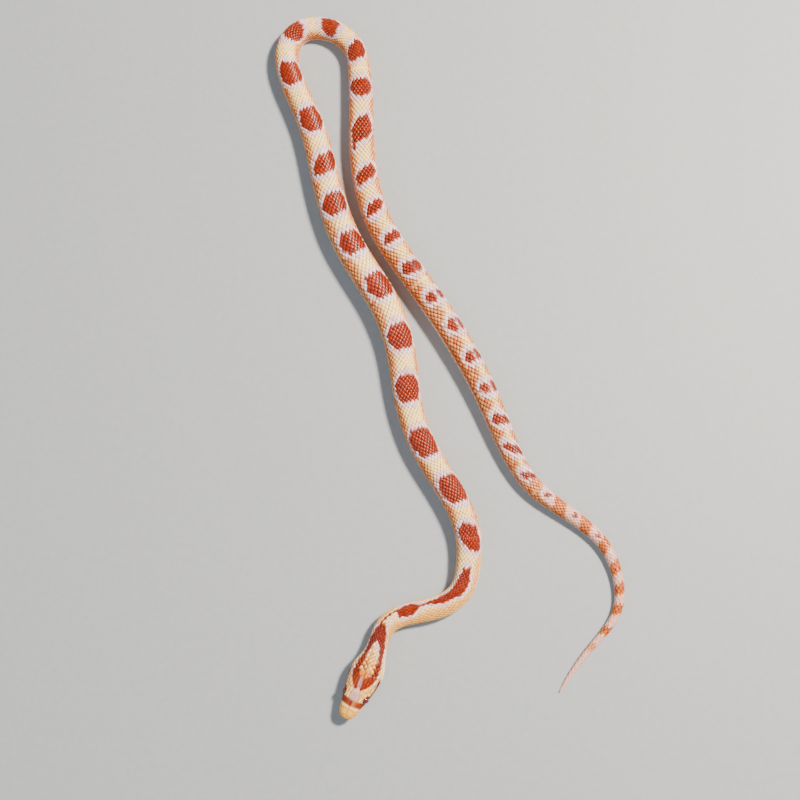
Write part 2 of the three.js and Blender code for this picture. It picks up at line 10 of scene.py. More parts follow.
import bmesh
import bpy
import numpy as np
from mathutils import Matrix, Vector


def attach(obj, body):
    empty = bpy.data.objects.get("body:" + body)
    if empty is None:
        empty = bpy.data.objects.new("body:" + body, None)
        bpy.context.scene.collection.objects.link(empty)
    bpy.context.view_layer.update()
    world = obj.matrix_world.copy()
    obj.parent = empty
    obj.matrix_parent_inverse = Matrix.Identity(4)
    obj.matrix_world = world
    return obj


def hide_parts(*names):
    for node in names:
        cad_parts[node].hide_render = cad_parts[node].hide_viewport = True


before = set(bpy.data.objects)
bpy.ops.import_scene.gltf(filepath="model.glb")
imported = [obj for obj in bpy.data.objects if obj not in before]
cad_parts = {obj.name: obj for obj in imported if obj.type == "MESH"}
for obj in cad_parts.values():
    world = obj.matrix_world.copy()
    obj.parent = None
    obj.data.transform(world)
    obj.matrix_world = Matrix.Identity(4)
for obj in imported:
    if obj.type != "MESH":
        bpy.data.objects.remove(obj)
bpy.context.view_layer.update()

bl_info = {
    "name": "Corn Snake",
    "version": (1, 0, 0),
    "blender": (4, 5, 0),
    "location": "View3D > Sidebar > Snake",
    "description": "Skin, scales, head shields and eyes of a life-size corn snake",
    "category": "Add Mesh",
}

MM = 0.001

# The route and girths, as in the solids
ROUTE_GUIDES_MM = [
    (-37, -130), (-33, -122), (-29, -114), (-25.5, -106), (-23.5, -97), (-14, -93.5), (-4.5, -92.5),
    (5.5, -87), (7.5, -75), (7.5, -62.5), (-0.5, -47.5), (-10.5, -33), (-15.5, -15), (-16.5, 2.5),
    (-23, 21.5), (-38.5, 42.5), (-45.5, 66.5), (-50, 88.5), (-58, 104.5), (-62.5, 117.5),
    (-58.5, 128), (-49.5, 130.5), (-40.5, 128), (-34, 121), (-33, 111.5), (-32, 97.5), (-32.5, 78),
    (-27.5, 51.5), (-13, 31.5), (1, 11), (13.5, -11.5), (21, -32), (29, -48.5), (43.5, -58),
    (56.5, -67.5), (62, -82), (61, -95), (50.5, -105.5), (43, -115), (39, -121.5),
]
CENTRING_MM = (1.285, -1.668)
STEPS_BETWEEN_GUIDES = 60
BODY_LENGTH_MM = 600

# [distance from the snout, half width, height], all in millimetres
GIRTHS_MM = [
    (24, 4.25, 7.3), (30, 3.55, 6.3), (38, 3.8, 6.6), (52, 4.15, 7.2), (72, 4.45, 7.8),
    (95, 4.85, 8.5), (130, 4.95, 8.7), (158, 5.5, 9.6), (185, 5.8, 10), (225, 5.55, 9.6),
    (256, 5, 8.8), (285, 4.75, 8.3), (305, 4.25, 7.6), (321, 4.2, 7.5), (340, 4.75, 8.3),
    (385, 5.05, 8.8), (428, 5, 8.6), (459, 4.7, 8.1), (480, 4.2, 7.3), (496, 3.65, 6.4),
    (508, 3.3, 5.7), (520, 2.85, 4.9), (541, 2.25, 3.9), (565, 1.7, 2.9), (584, 1.2, 2.1),
    (595, 0.75, 1.3), (600, 0.3, 0.55),
]
# [distance from the snout, half width, height of the crown, height of the chin]
HEAD_SHAPE_MM = [
    (0, 1.3, 3.9, 2.5), (0.5, 2, 4.5, 1.9), (1.5, 2.75, 5.1, 1.35), (3, 3.4, 5.6, 0.95),
    (5, 3.95, 6.15, 0.65), (7, 4.45, 6.7, 0.5), (9, 4.9, 7.15, 0.4), (12, 5.45, 7.6, 0.3),
    (15, 5.95, 7.9, 0.2), (17, 6.1, 8, 0.15), (19.5, 5.8, 7.95, 0.1), (22, 5, 7.65, 0.05),
    (24, 4.25, 7.3, 0),
]
MOUTH_LINE_MM = [(0, 2.75), (3, 2.55), (7, 2.6), (11, 2.85), (14.5, 3.4), (17.4, 4.3)]
HEAD_END_MM = 24
HEAD_LIFT_MM = 1.35
HEAD_TILT = math.radians(6)
NECK_SETTLES_AT_MM = 50
MOUTH_CORNER_MM = 17.3
SNOUT_ROUNDING_MM = 0.8
JAW_SETBACK_MM = 0.9
JAW_INSET_MM = 0.28

# How far the line of the back leans to the animal's left, in degrees, at a distance
BACK_LEANS = [
    (24, 0), (34, -8), (44, -22), (54, -34), (66, -19), (86, 0), (103, 15), (122, 9), (144, 8),
    (164, 12), (186, 18), (204, 18), (221, 7), (237, 15), (255, 9), (277, 7), (294, -8),
    (307, 0), (323, 0), (338, -3), (386, -4), (400, -18), (413, -12), (427, -25), (440, -34),
    (454, -27), (467, -27), (479, -18), (501, -18), (530, -12), (570, -5), (600, 0),
]

BACK_ROUNDNESS = 2.15
BELLY_SQUARENESS = 2.9
WIDEST_AT = 0.46
BELLY_FLATTENING = 0.06
# Height over half width of a common section, which the shares of the way round are measured on
COMMON_HEIGHT = 1.75

# The coat is drawn in a hair along the flanks, and more on the loop, to stay inside the solids
FLANK_INSET_MM = 0.05
LOOP_INSET_MM = 0.12
LOOP_SIDE_MM = 284
LOOP_SPREAD_MM = 22

EYE_RADIUS_MM = 1.4
EYE_DISTANCE_MM = 9
EYE_ANGLE = math.radians(21)
EYE_SINK = 0.65
EYE_SOCKET_MM = 1.47
EYE_LEANS_AHEAD = 0.12
# Colours from the middle of the pupil outward, by the angle as a share of a right angle
EYE_RINGS = [(0.0, "#2c0508"), (0.30, "#36080c"), (0.36, "#8a2a1c"), (0.50, "#681a18"),
             (0.62, "#3a0c10"), (1.0, "#24060a")]

SKIN_RINGS_HEAD = 110
SKIN_RINGS_BODY = 520
SKIN_AROUND = 96

# Scale rows over the back: [start, end, rows]
ROW_LENGTHS_MM = [
    (16.9, 40, 23), (40, 84, 25), (84, 330, 27), (330, 420, 25), (420, 468, 23), (468, 508, 21),
    (508, 528, 17), (528, 548, 13), (548, 568, 9), (568, 584, 7), (584, 598.6, 5),
]
SCALE_PIECES_MM = [
    ("scales_neck", 16.9, 84), ("scales_forebody", 84, 166), ("scales_middle", 166, 248),
    ("scales_loop", 248, 330), ("scales_hindbody", 330, 508), ("scales_tail", 508, 598.6),
]
FIRST_SCALE_MM = 16.7
SCALE_THICKNESS_MM = 0.12
BAKE_PATCH = 0.003

# Belly scutes: rows and lanes of one scute's points, and its length over the body's width
SCUTE_ROWS = np.array([0.0, 0.3, 0.62, 0.86, 1.0])
SCUTE_LANES = np.linspace(-1, 1, 15)
SCUTE_PITCH_TO_WIDTH = 0.24
SCUTES_START_MM = 17.8
VENT_MM = 508
SCUTES_END_MM = 596

# Saddle blotches: [distance of the middle, half length, half width over the back, slant, shift
# to the left, share of paling along the ridge]
BLOTCHES_MM = [
    (44.0, 3.9, 2.3, 0.0, 0.0, 0), (50.5, 4.4, 0.5, 0.0, -0.2, 0), (59.5, 7.2, 1.6, 0.0, 0.1, 0),
    (66.3, 6.9, 2.5, 0.1, 0.3, 0), (84.6, 4.4, 4.6, -0.45, 0.5, 0),
    (102.6, 5.3, 5.5, -0.15, 0.2, 0), (122.4, 5.4, 5.7, -0.1, 0.2, 0), (143.3, 5.0, 5.4, 0, 0, 0),
    (162.8, 5.0, 5.7, 0, 0, 0),
    (183.3, 4.9, 5.9, 0, 0, 0), (202.7, 4.5, 5.9, 0, 0, 0), (219.3, 4.2, 5.8, 0.1, 0, 0),
    (235.7, 4.1, 5.8, 0.3, 0, 0), (254.2, 5.1, 5.0, 0, 0, 0), (274.8, 4.9, 5.1, 0, 0, 0),
    (293.0, 3.7, 5.0, 0, 0, 0), (307.4, 3.4, 4.5, 0.15, 0, 0), (322.5, 3.6, 4.3, 0.25, 0, 0),
    (337.7, 3.5, 5.0, 0, 0, 0), (354.6, 5.0, 4.5, 0.4, 0, 0), (360.2, 3.0, 0.9, 0.3, 3.4, 0),
    (372.8, 2.8, 4.8, 0.45, 0, 0), (386.4, 2.2, 4.6, 0.35, 0, 0), (399.6, 2.1, 4.7, 0.1, 0, 0),
    (413.6, 2.4, 4.7, -0.1, 0, 0.1), (427.2, 2.2, 4.6, 0.0, 0, 0.7), (440.2, 2.4, 4.5, 0, 0, 0.5),
    (453.6, 2.1, 4.3, 0, 0, 0.3), (466.4, 2.1, 4.2, 0, 0, 0.5), (479.2, 2.0, 4.0, -0.35, 0, 0),
    (490.9, 1.9, 3.7, -0.6, 0, 0), (501.9, 1.5, 2.9, -0.5, 0, 0), (512.2, 1.1, 1.6, -0.4, 0, 0),
    (524.6, 1.0, 1.2, 0, 0, 0), (535.1, 0.8, 0.9, 0, 0, 0), (544.1, 0.5, 0.6, 0, 0, 0),
]
BLOTCH_TAPER = 0.62
RIM_MM = 2.3

# Where the flank's orange starts from the ridge of the back: [distance, arc from the ridge]
ORANGE_STARTS_MM = [(30, 0.6), (60, 1.6), (150, 2.6), (330, 2.2), (400, 1.0), (500, -0.8)]

# Orange bands of the tail, as distances of their middles, and half the first's and last's length
TAIL_BANDS_MM = (506.4, 518, 529.2, 539.2, 548.1, 555.9, 563.4, 572.2, 580.3, 588)
BAND_HALF_MM = (2.9, 1.5)

# The nape's spearhead: half widths of its outer edge and of the pale lens inside it
SPEAR_MM = [(10.8, 0.8), (12, 2.2), (14, 3.8), (16.5, 5.0), (18.5, 5.4), (21, 4.9), (24, 4.1),
            (27, 3.8), (30, 3.1), (33, 2.3), (35.5, 0.8)]
LENS_MM = [(15.2, 0.2), (16.4, 1.6), (18.2, 2.8), (21.5, 2.7), (24.5, 2.1), (27, 1.3),
           (28.6, 0.1)]

# Shields of the head as corners [distance in millimetres, share of the way from the midline to
# the lip]; shares over 1 lie under the jaw, and 2 is the midline of the throat
FRONTAL_SHIELD = [(7.0, 0.22), (9.2, 0.2), (11.0, 0.15), (12.4, 0.0)]
PAIRED_SHIELDS = {
    "internasal": [(1.5, 0.0), (0.9, 0.35), (1.6, 0.5), (3.0, 0.47), (3.4, 0.3), (3.5, 0.0)],
    "prefrontal": [(3.5, 0.0), (3.4, 0.3), (3.0, 0.47), (4.3, 0.62), (6.6, 0.6), (7.2, 0.42),
                   (7.0, 0.22), (7.0, 0.0)],
    "supraocular": [(7.0, 0.22), (7.2, 0.42), (7.4, 0.56), (8.7, 0.6), (10.1, 0.57),
                    (11.2, 0.42), (11.0, 0.15), (9.2, 0.2)],
    "parietal": [(12.4, 0.0), (11.0, 0.15), (11.2, 0.42), (11.9, 0.5), (14.5, 0.5),
                 (17.1, 0.34), (17.6, 0.1), (17.3, 0.0)],
    "nasal_front": [(0.9, 0.35), (1.6, 0.5), (2.1, 0.58), (2.25, 0.77), (1.1, 0.76)],
    "nasal_rear": [(1.6, 0.5), (3.0, 0.47), (3.9, 0.58), (3.95, 0.77), (2.25, 0.77), (2.1, 0.58)],
    "loreal": [(3.0, 0.47), (4.3, 0.62), (6.0, 0.61), (6.15, 0.77), (3.95, 0.77), (3.9, 0.58)],
    "preocular": [(6.0, 0.61), (6.6, 0.6), (7.2, 0.42), (7.4, 0.56), (7.4, 0.77), (6.15, 0.77)],
    "postocular_upper": [(10.1, 0.57), (11.2, 0.42), (11.9, 0.5), (11.6, 0.65), (10.1, 0.67)],
    "postocular_lower": [(10.1, 0.67), (11.6, 0.65), (11.8, 0.79), (10.0, 0.78)],
    "temporal_upper": [(11.9, 0.5), (14.5, 0.5), (14.3, 0.64), (11.6, 0.65)],
    "temporal_lower": [(11.6, 0.65), (14.3, 0.64), (14.5, 0.79), (11.8, 0.79)],
    "temporal_rear_upper": [(14.5, 0.5), (17.1, 0.34), (17.8, 0.48), (17.0, 0.63), (14.3, 0.64)],
    "temporal_rear_lower": [(14.3, 0.64), (17.0, 0.63), (17.3, 0.78), (14.5, 0.79)],
    "mental": [(0.5, 1.2), (2.0, 1.35), (2.0, 2.0), (0.5, 2.0)],
    "chin_front": [(2.0, 1.35), (4.0, 1.42), (5.9, 1.5), (5.7, 2.0), (2.0, 2.0)],
    "chin_rear": [(5.9, 1.5), (8.0, 1.56), (9.9, 1.75), (9.3, 2.0), (5.7, 2.0)],
}
UPPER_LIP_EDGES_MM = [1.1, 2.6, 4.2, 5.9, 7.6, 9.6, 11.8, 14.4, 17.1]
LOWER_LIP_EDGES_MM = [1.1, 2.5, 4.0, 5.6, 7.3, 9.2, 11.2, 13.2, 15.2, 17.1]
UPPER_LIP_SHARE = 0.78
LOWER_LIP_SHARE = 1.32
# Arc from the midline to the lip, about: [distance, length]
LIP_REACH_MM = [(0, 1.6), (1.5, 3.52), (4, 5.12), (9, 6.592), (15, 7.68), (18, 7.36)]
CHEEK_SHARE = 0.78
SEAM_MM = 0.11
SEAM_DEPTH_MM = 0.27
NOSTRIL_AT = (2.35, 0.64)
SHIELDS_END_MM = 18.4
SNOUT_GRID_MM = 1.2

FRECKLE_MM = 0.35
DRIFT_MM = 8

CAMERA_ELEVATION = math.radians(80)
CAMERA_DISTANCE_MM = 455.2
CAMERA_FIELD = math.radians(36)
CAMERA_TARGET_MM = (-16.2, -17.7)
FLOOR_HALF_MM = 3000
# Name, place in metres, size in metres, watts and colour
LIGHTS = [("key", (0.55, 0.3, 0.85), 0.14, 40.0, "#fff3e4"),
          ("fill", (-0.6, -0.5, 0.9), 0.9, 6.0, "#e8eefc")]


def linear(hex_colour):
    """The linear RGBA of an sRGB hex string, by the sRGB transfer curve."""
    values = [int(hex_colour[i:i + 2], 16) / 255 for i in (1, 3, 5)]
    return [v / 12.92 if v <= 0.04045 else ((v + 0.055) / 1.055) ** 2.4 for v in values] + [1.0]


def smooth_step(start, end, value):
    """0 before start, 1 after end, and 3t^2 - 2t^3 between them."""
    t = np.clip((value - start) / (end - start), 0.0, 1.0)
    return t * t * (3 - 2 * t)


def between(value, start, full, fade, end):
    """0 before start and after end, 1 from full to fade, and smooth steps on both sides."""
    return smooth_step(start, full, value) * smooth_step(end, fade, value)


def strongest(*masks):
    """The strongest of several masks at each place."""
    return np.maximum.reduce(np.broadcast_arrays(*[np.asarray(mask, float) for mask in masks]))


def profile(rows, distance, column):
    """A smooth monotone cubic through rows of [distance, value, ...], read at distances."""
    rows = np.array(rows, float)
    x, y = rows[:, 0], rows[:, column]
    chord = np.diff(y) / np.diff(x)
    slope = np.zeros(len(x))
    product = chord[:-1] * chord[1:]
    total = np.where(product > 0, chord[:-1] + chord[1:], 1.0)
    slope[1:-1] = np.where(product > 0, 2 * product / total, 0.0)
    slope[0] = 1.5 * chord[0] - 0.5 * slope[1]
    slope[-1] = 1.5 * chord[-1] - 0.5 * slope[-2]
    at = np.clip(distance, x[0], x[-1])
    i = np.clip(np.searchsorted(x, at) - 1, 0, len(x) - 2)
    span = x[i + 1] - x[i]
    t = (at - x[i]) / span
    return ((2 * t ** 3 - 3 * t ** 2 + 1) * y[i] + (t ** 3 - 2 * t ** 2 + t) * slope[i] * span
            + (3 * t ** 2 - 2 * t ** 3) * y[i + 1] + (t ** 3 - t ** 2) * slope[i + 1] * span)


def route_table():
    """Plan points of the uniform cubic B-spline of the guides, and distances scaled to the body."""
    guides = np.array(ROUTE_GUIDES_MM, float) + np.array(CENTRING_MM)
    padded = np.vstack([2 * guides[0] - guides[1], guides, 2 * guides[-1] - guides[-2]])
    u = np.linspace(0, len(guides) - 1, STEPS_BETWEEN_GUIDES * (len(guides) - 1) + 1)
    i = np.minimum(u.astype(int), len(guides) - 2)
    f = (u - i)[:, None]
    points = ((1 - f) ** 3 * padded[i] + (3 * f ** 3 - 6 * f ** 2 + 4) * padded[i + 1]
              + (3 * (f + f ** 2 - f ** 3) + 1) * padded[i + 2] + f ** 3 * padded[i + 3]) / 6
    steps = np.linalg.norm(np.diff(points, axis=0), axis=1)
    travelled = np.concatenate([[0.0], np.cumsum(steps)])
    headings = np.gradient(points, travelled, axis=0)
    headings /= np.linalg.norm(headings, axis=1)[:, None]
    return travelled * BODY_LENGTH_MM / travelled[-1], points, headings


ROUTE = route_table()


def route_at(distance):
    """Plan place and tailward heading at distances, read linearly from the route's table."""
    travelled, points, headings = ROUTE
    place = np.stack([np.interp(distance, travelled, points[:, k]) for k in (0, 1)], -1)
    heading = np.stack([np.interp(distance, travelled, headings[:, k]) for k in (0, 1)], -1)
    return place, heading / np.linalg.norm(heading, axis=-1, keepdims=True)


def sections(distance):
    """Half width, height, lift and tilt of the section at distances, in millimetres."""
    in_head = distance < HEAD_END_MM
    settled = smooth_step(HEAD_END_MM - 2, NECK_SETTLES_AT_MM, distance)
    chin = profile(HEAD_SHAPE_MM, distance, 3)
    crown = profile(HEAD_SHAPE_MM, distance, 2)
    half_width = np.where(in_head, profile(HEAD_SHAPE_MM, distance, 1),
                          profile(GIRTHS_MM, distance, 1))
    height = np.where(in_head, crown - chin, profile(GIRTHS_MM, distance, 2))
    lift = HEAD_LIFT_MM * (1 - settled) + np.where(in_head, chin, 0.0)
    return half_width, height, lift, HEAD_TILT * (1 - settled)


def loaf(angle, half_width, height):
    """The loaf section: a superellipse over the back, a squarer one below, its foot cut flat."""
    c, s = np.cos(angle), np.sin(angle)
    middle = height * WIDEST_AT
    above = s >= 0
    power = np.where(above, 2 / BACK_ROUNDNESS, 2 / BELLY_SQUARENESS)
    across = half_width * np.sign(c) * np.abs(c) ** power
    rise = (height - middle) * np.abs(s) ** power
    drop = (middle + height * BELLY_FLATTENING) * np.abs(s) ** power
    return across, np.where(above, middle + rise, np.maximum(middle - drop, 0.0))


def wrap(angle):
    """The same angle between minus and plus half a turn."""
    return np.arctan2(np.sin(angle), np.cos(angle))


def arc_table():
    """Angle against the share of the way round a common section, 0 on the back, + to the left."""
    angle = np.linspace(math.pi / 2, -1.5 * math.pi, 4001)
    across, up = loaf(wrap(angle), 1.0, COMMON_HEIGHT)
    steps = np.hypot(np.diff(across), np.diff(up))
    share = np.concatenate([[0.0], np.cumsum(steps)])
    return share / share[-1], angle, share[-1]


ARC_SHARES, ARC_ANGLES, ARC_LENGTH = arc_table()


def share_at(angle):
    """The share of the way round at which a downward angle from the back lies."""
    return float(np.interp(-angle, -ARC_ANGLES, ARC_SHARES))


DORSAL_SHARE = share_at(math.radians(-28))
BELLY_SHARE = 0.5 - DORSAL_SHARE


def perimeter(distance):
    """Length round the section in millimetres, from its half width."""
    return ARC_LENGTH * sections(distance)[0]


def carry(distance, across, up):
    """A section's points, tilted about its middle, lifted and set on the route. Millimetres."""
    _, height, lift, tilt = sections(distance)
    pivot = height / 2
    left = across * np.cos(tilt) - (up - pivot) * np.sin(tilt)
    above = pivot + across * np.sin(tilt) + (up - pivot) * np.cos(tilt)
    place, heading = route_at(distance)
    return np.stack([place[..., 0] + heading[..., 1] * left,
                     place[..., 1] - heading[..., 0] * left, lift + above], -1)


def surface(distance, share, outward):
    """A point of the body: the loaf at a distance, a share of the way round, moved along its
    normal and carried to the route, no nearer the floor than it is moved in. Millimetres."""
    distance, share, outward = np.broadcast_arrays(distance, share, outward)
    half_width, height, _, _ = sections(distance)
    inset = FLANK_INSET_MM + LOOP_INSET_MM * np.exp(-((distance - LOOP_SIDE_MM) / LOOP_SPREAD_MM) ** 2)
    flanks = smooth_step(0.42, 0.36, np.abs(share)) * smooth_step(30, 60, distance)
    outward = outward - inset * flanks
    lean = profile(BACK_LEANS, distance, 1) / 360
    angle = np.interp(np.mod(share + lean, 1.0), ARC_SHARES, ARC_ANGLES)
    across, up = loaf(wrap(angle), half_width, height)
    small = 0.01
    ahead = loaf(wrap(angle + small), half_width, height)
    behind = loaf(wrap(angle - small), half_width, height)
    tangent_across, tangent_up = ahead[0] - behind[0], ahead[1] - behind[1]
    length = np.maximum(np.hypot(tangent_across, tangent_up), 1e-9)
    across = across + outward * tangent_up / length
    up = up - outward * tangent_across / length
    points = carry(distance, *round_snout(distance, across, up))
    points[..., 2] = np.maximum(points[..., 2], np.maximum(-outward, 0.0))
    return points


def round_snout(distance, across, up):
    """Closes the snout by a quarter circle, and sets the lower jaw back and in from the lip."""
    chin = profile(HEAD_SHAPE_MM, distance, 3)
    mouth = profile(MOUTH_LINE_MM, distance, 1) - chin
    upper_cap = np.sqrt(1 - (1 - np.clip(distance / SNOUT_ROUNDING_MM, 0, 1)) ** 2)
    behind_lip = np.clip((distance - JAW_SETBACK_MM) / SNOUT_ROUNDING_MM, 0, 1)
    lower_cap = np.sqrt(1 - (1 - behind_lip) ** 2)
    in_jaw = (distance < MOUTH_CORNER_MM) & (up < mouth)
    below = np.where(in_jaw, mouth - up, 0.0)
    inset = JAW_INSET_MM * smooth_step(0, 0.3, below) * smooth_step(
        MOUTH_CORNER_MM, MOUTH_CORNER_MM - 2, distance)
    across = np.sign(across) * np.maximum(np.abs(across) - inset, 0)
    up = np.where(in_jaw, mouth - below * lower_cap, mouth + (up - mouth) * upper_cap)
    return across * upper_cap, up


def lip_share(distance):
    """The share of the way round, from the back to the mouth line, at distances in the head."""
    _, height, _, _ = sections(distance)
    chin = profile(HEAD_SHAPE_MM, distance, 3)
    up = profile(MOUTH_LINE_MM, distance, 1) - chin
    middle = height * WIDEST_AT
    reach = np.where(up >= middle, height - middle, middle + height * BELLY_FLATTENING)
    power = np.where(up >= middle, BACK_ROUNDNESS, BELLY_SQUARENESS) / 2
    ratio = np.clip(np.abs(up - middle) / reach, 0, 1) ** power
    angle = np.sign(up - middle) * np.arcsin(ratio)
    return np.interp(-angle, -ARC_ANGLES, ARC_SHARES)


def share_from_head(distance, head_share):
    """Turns the head's measure, 1 at the lip and 2 under the throat, to a share of the way round."""
    lip = lip_share(distance)
    size = np.abs(head_share)
    share = np.where(size <= 1, size * lip, lip + (size - 1) * (0.5 - lip))
    return np.sign(head_share) * share


# Markings


def noise(x, y, seed):
    """Smooth noise from -1 to 1: three sine waves of unlike direction, multiplied and summed."""
    return (np.sin(x * 1.7 + y * 2.9 + seed * 1.3) * np.cos(y * 1.9 - x * 2.3 + seed * 2.1)
            + 0.6 * np.sin(x * 4.1 - y * 3.3 + seed * 3.7)) / 1.6


def body_masks(distance, across, wobble):
    """Blotch, lilac rim, orange flank and belly strengths at places of the body.

    A blotch has straight ends that taper past half of its half width. The rim reaches a
    little over two millimetres from its ends and half as far from its tips. The flank's orange
    rises from the ridge of the back outward, and bands cross the tail."""
    blotch = np.zeros_like(distance)
    nearest = np.full_like(distance, 99.0)
    for i, (middle, half_length, half_width, slant, shift, paling) in enumerate(BLOTCHES_MM):
        side = across - shift
        along = distance - middle - slant * side + 0.3 * noise(across * 0.8, distance * 0.2, i)
        taper = 1 - BLOTCH_TAPER * smooth_step(0.5, 1.0, np.abs(side) / half_width)
        end = np.abs(along) - half_length * taper
        edge = np.abs(side) - half_width
        mask = smooth_step(0.3, -0.3, end + 0.5 * wobble) * smooth_step(0.3, -0.3, edge)
        pale = np.clip(1.4 * paling * np.exp(-((side + 0.2) / 0.6) ** 2), 0, 1)
        blotch = strongest(blotch, mask * (1 - pale))
        nearest = np.minimum(nearest, np.hypot(np.maximum(end, 0), 2 * np.maximum(edge, 0)))
    rim = smooth_step(RIM_MM + 0.4, RIM_MM - 0.4, nearest + 0.5 * wobble)
    start = np.interp(distance, *np.array(ORANGE_STARTS_MM).T)
    flank = smooth_step(start, start + 2.8, np.abs(across) + 0.5 * wobble)
    bands = np.zeros_like(distance)
    half_band = np.interp(distance, (TAIL_BANDS_MM[0], TAIL_BANDS_MM[-1]), BAND_HALF_MM)
    for middle in TAIL_BANDS_MM:
        along = np.abs(distance - middle - 0.35 * across + 0.3 * noise(across, distance, 9))
        bands = strongest(bands, smooth_step(0.4, -0.4, along - half_band))
    on_tail = smooth_step(500, 506, distance)
    left_side = smooth_step(2.0, 3.0, across) * smooth_step(540, 510, distance)
    banded = strongest(bands, left_side) * smooth_step(592, 574, distance)
    rim = rim * (1 - on_tail) + (1 - banded) * on_tail
    flank = flank * (1 - rim) * (1 - on_tail) + banded * on_tail
    half = DORSAL_SHARE * perimeter(distance)
    belly = smooth_step(half - 0.9, half - 0.1, np.abs(across))
    return blotch, rim, flank, belly


def streaks(distance, across, seed):
    """Long thin streaks along the body: sines of the distance across, bent slowly lengthwise."""
    bend = 1.3 * np.sin(distance * 0.7 + seed) + 0.06 * across * distance
    lines = np.sin(across * 4.6 + seed + bend)
    return 0.55 * lines + 0.75 * noise(distance * 0.8, across * 1.3, seed + 7)


def spearhead(distance, across, ragged):
    """The nape's mark: red arms outside a pale lens, streaked orange, with a pale line between
    them on the crown. Returns outer and lens half widths, then lens, arm, line and red strengths."""
    side = np.abs(across)
    outer = np.interp(distance, *np.array(SPEAR_MM).T)
    lens = np.interp(distance, *np.array(LENS_MM).T, left=0.0, right=0.0)
    in_lens = smooth_step(0.25, -0.25, side - lens + ragged) * (lens > 0)
    arms = smooth_step(0.3, -0.3, side - outer + ragged) * between(distance, 10.4, 11.6, 34.5, 36)
    line = smooth_step(0.9, 0.3, np.abs(across + 0.12 * (distance - 13)))
    line = line * between(distance, 10.2, 11.5, 14.5, 16.5)
    streak = in_lens * smooth_step(0.2, 0.6, streaks(distance, across, 0.6))
    mottle = smooth_step(0.15, 0.6, streaks(distance, across, 4.0))
    mottle = mottle * smooth_step(17.5, 15.5, distance)
    red = arms * (1 - in_lens) * (1 - 0.6 * line) * (1 - 0.22 * mottle)
    red = strongest(red, 0.72 * streak * smooth_step(28, 24, distance))
    return outer, lens, in_lens, arms, line, red


def head_masks(distance, across, head_share):
    """Red, maroon, lilac, yellow, orange and cream spot strengths over the head and nape.

    Besides the spearhead a bar crosses before the eyes, paled a little left of the midline by a
    painted highlight, a cream stripe passes over each eye to the temple, and a maroon stripe runs
    from each eye along the upper lip."""
    side, share = np.abs(across), np.abs(head_share)
    ragged = 0.22 * noise(distance * 1.3, across * 1.3, 3)
    outer, lens, in_lens, arms, line, red = spearhead(distance, across, ragged)
    above_cheek = share < CHEEK_SHARE
    bar = between(distance - 0.12 * side, 4.3, 5.2, 6.5, 7.3) * above_cheek
    # Painted highlight: the bar before the eyes is paled a little left of the midline
    painted_glint = np.exp(-((across - 0.9) / 0.9) ** 2)
    outline = smooth_step(0.35, 0.1, np.abs(side - outer - 1.9)) * between(distance, 8, 10, 15, 19)
    link = between(distance, 33, 34.5, 41, 43) * smooth_step(0.6, 0.25, np.abs(across + 1.5))
    frontal = smooth_step(1.7, 0.9, side + 1.6 * ragged) * between(distance, 6.7, 7.7, 9.6, 11.4)
    red = strongest(red, bar * (0.92 - 0.5 * painted_glint + 0.2 * ragged),
                    0.5 * outline * (share < 0.75), link, 0.5 * frontal)
    stripe = between(distance, 9.8, 10.6, 16.4, 18) * between(share, 0.66, 0.74, 0.9, 0.95)
    front = between(distance, 6.2, 7.4, 7.6, 8.4) * between(share, 0.52, 0.62, 0.8, 0.84)
    brow = smooth_step(2.2, 1.7, np.hypot(distance - EYE_DISTANCE_MM, 6.4 * (share - 0.72)))
    dark_nape = arms * (1 - in_lens) * between(distance, 18, 22, 33, 36)
    maroon = strongest(stripe, front, 0.9 * brow, 0.42 * dark_nape)
    rim = smooth_step(0.75, 0.3, np.abs(side - lens + 0.3)) * smooth_step(21, 24.5, distance)
    beyond = smooth_step(0.9, 0.4, np.abs(side - outer - 0.45)) * between(distance, 13, 15, 36, 44)
    lilac = strongest(frontal, line, rim * in_lens, 0.8 * beyond * (1 - arms))
    spot = smooth_step(1.1, 0.7, np.hypot((distance - 37) / 3.2, (across + 0.2) / 1.7))
    yellow = strongest(smooth_step(4.8, 3.4, distance), 0.35 * smooth_step(7.4, 8, distance))
    threads = smooth_step(0, 0.6, streaks(distance, across, 2.0)) * smooth_step(6.5, 8, distance)
    crown = arms * smooth_step(19, 17, distance) * above_cheek
    orange = strongest(0.9 * threads * strongest(in_lens, share < 0.74), bar, crown)
    return red, maroon, lilac, yellow, orange, spot


def marking_attributes(distance, across, head_share, wobble):
    """All marking strengths as named arrays, the head's fading into the body's on the nape."""
    blotch, rim, flank, belly = body_masks(distance, across, wobble)
    red, maroon, lilac, yellow, orange, spot = head_masks(distance, across, head_share)
    body = smooth_step(24, 30, distance)
    nape = smooth_step(44, 40, distance)
    throat = smooth_step(1.0, 1.12, np.abs(head_share)) * (distance < HEAD_END_MM)
    head = 1 - smooth_step(22, 27, distance)
    flank = strongest(flank * body * (1 - spot), orange * head)
    yellow_flank = 0.6 * between(distance, 20, 28, 50, 80) * flank
    flank = flank * (1 - 0.4 * between(distance, 28, 34, 70, 95))
    return {
        "blotch": strongest(blotch * smooth_step(38, 40.5, distance), red * nape),
        "maroon": strongest(maroon, 0.2 * flank * smooth_step(370, 420, distance)),
        "lilac": strongest(rim * body * smooth_step(36, 42, distance), lilac * nape),
        "flank": flank,
        "belly": strongest(belly * (1 - head), throat),
        "yellow": strongest(yellow * head, yellow_flank),
        "tail": smooth_step(500, 530, distance),
    }


# Meshes and materials


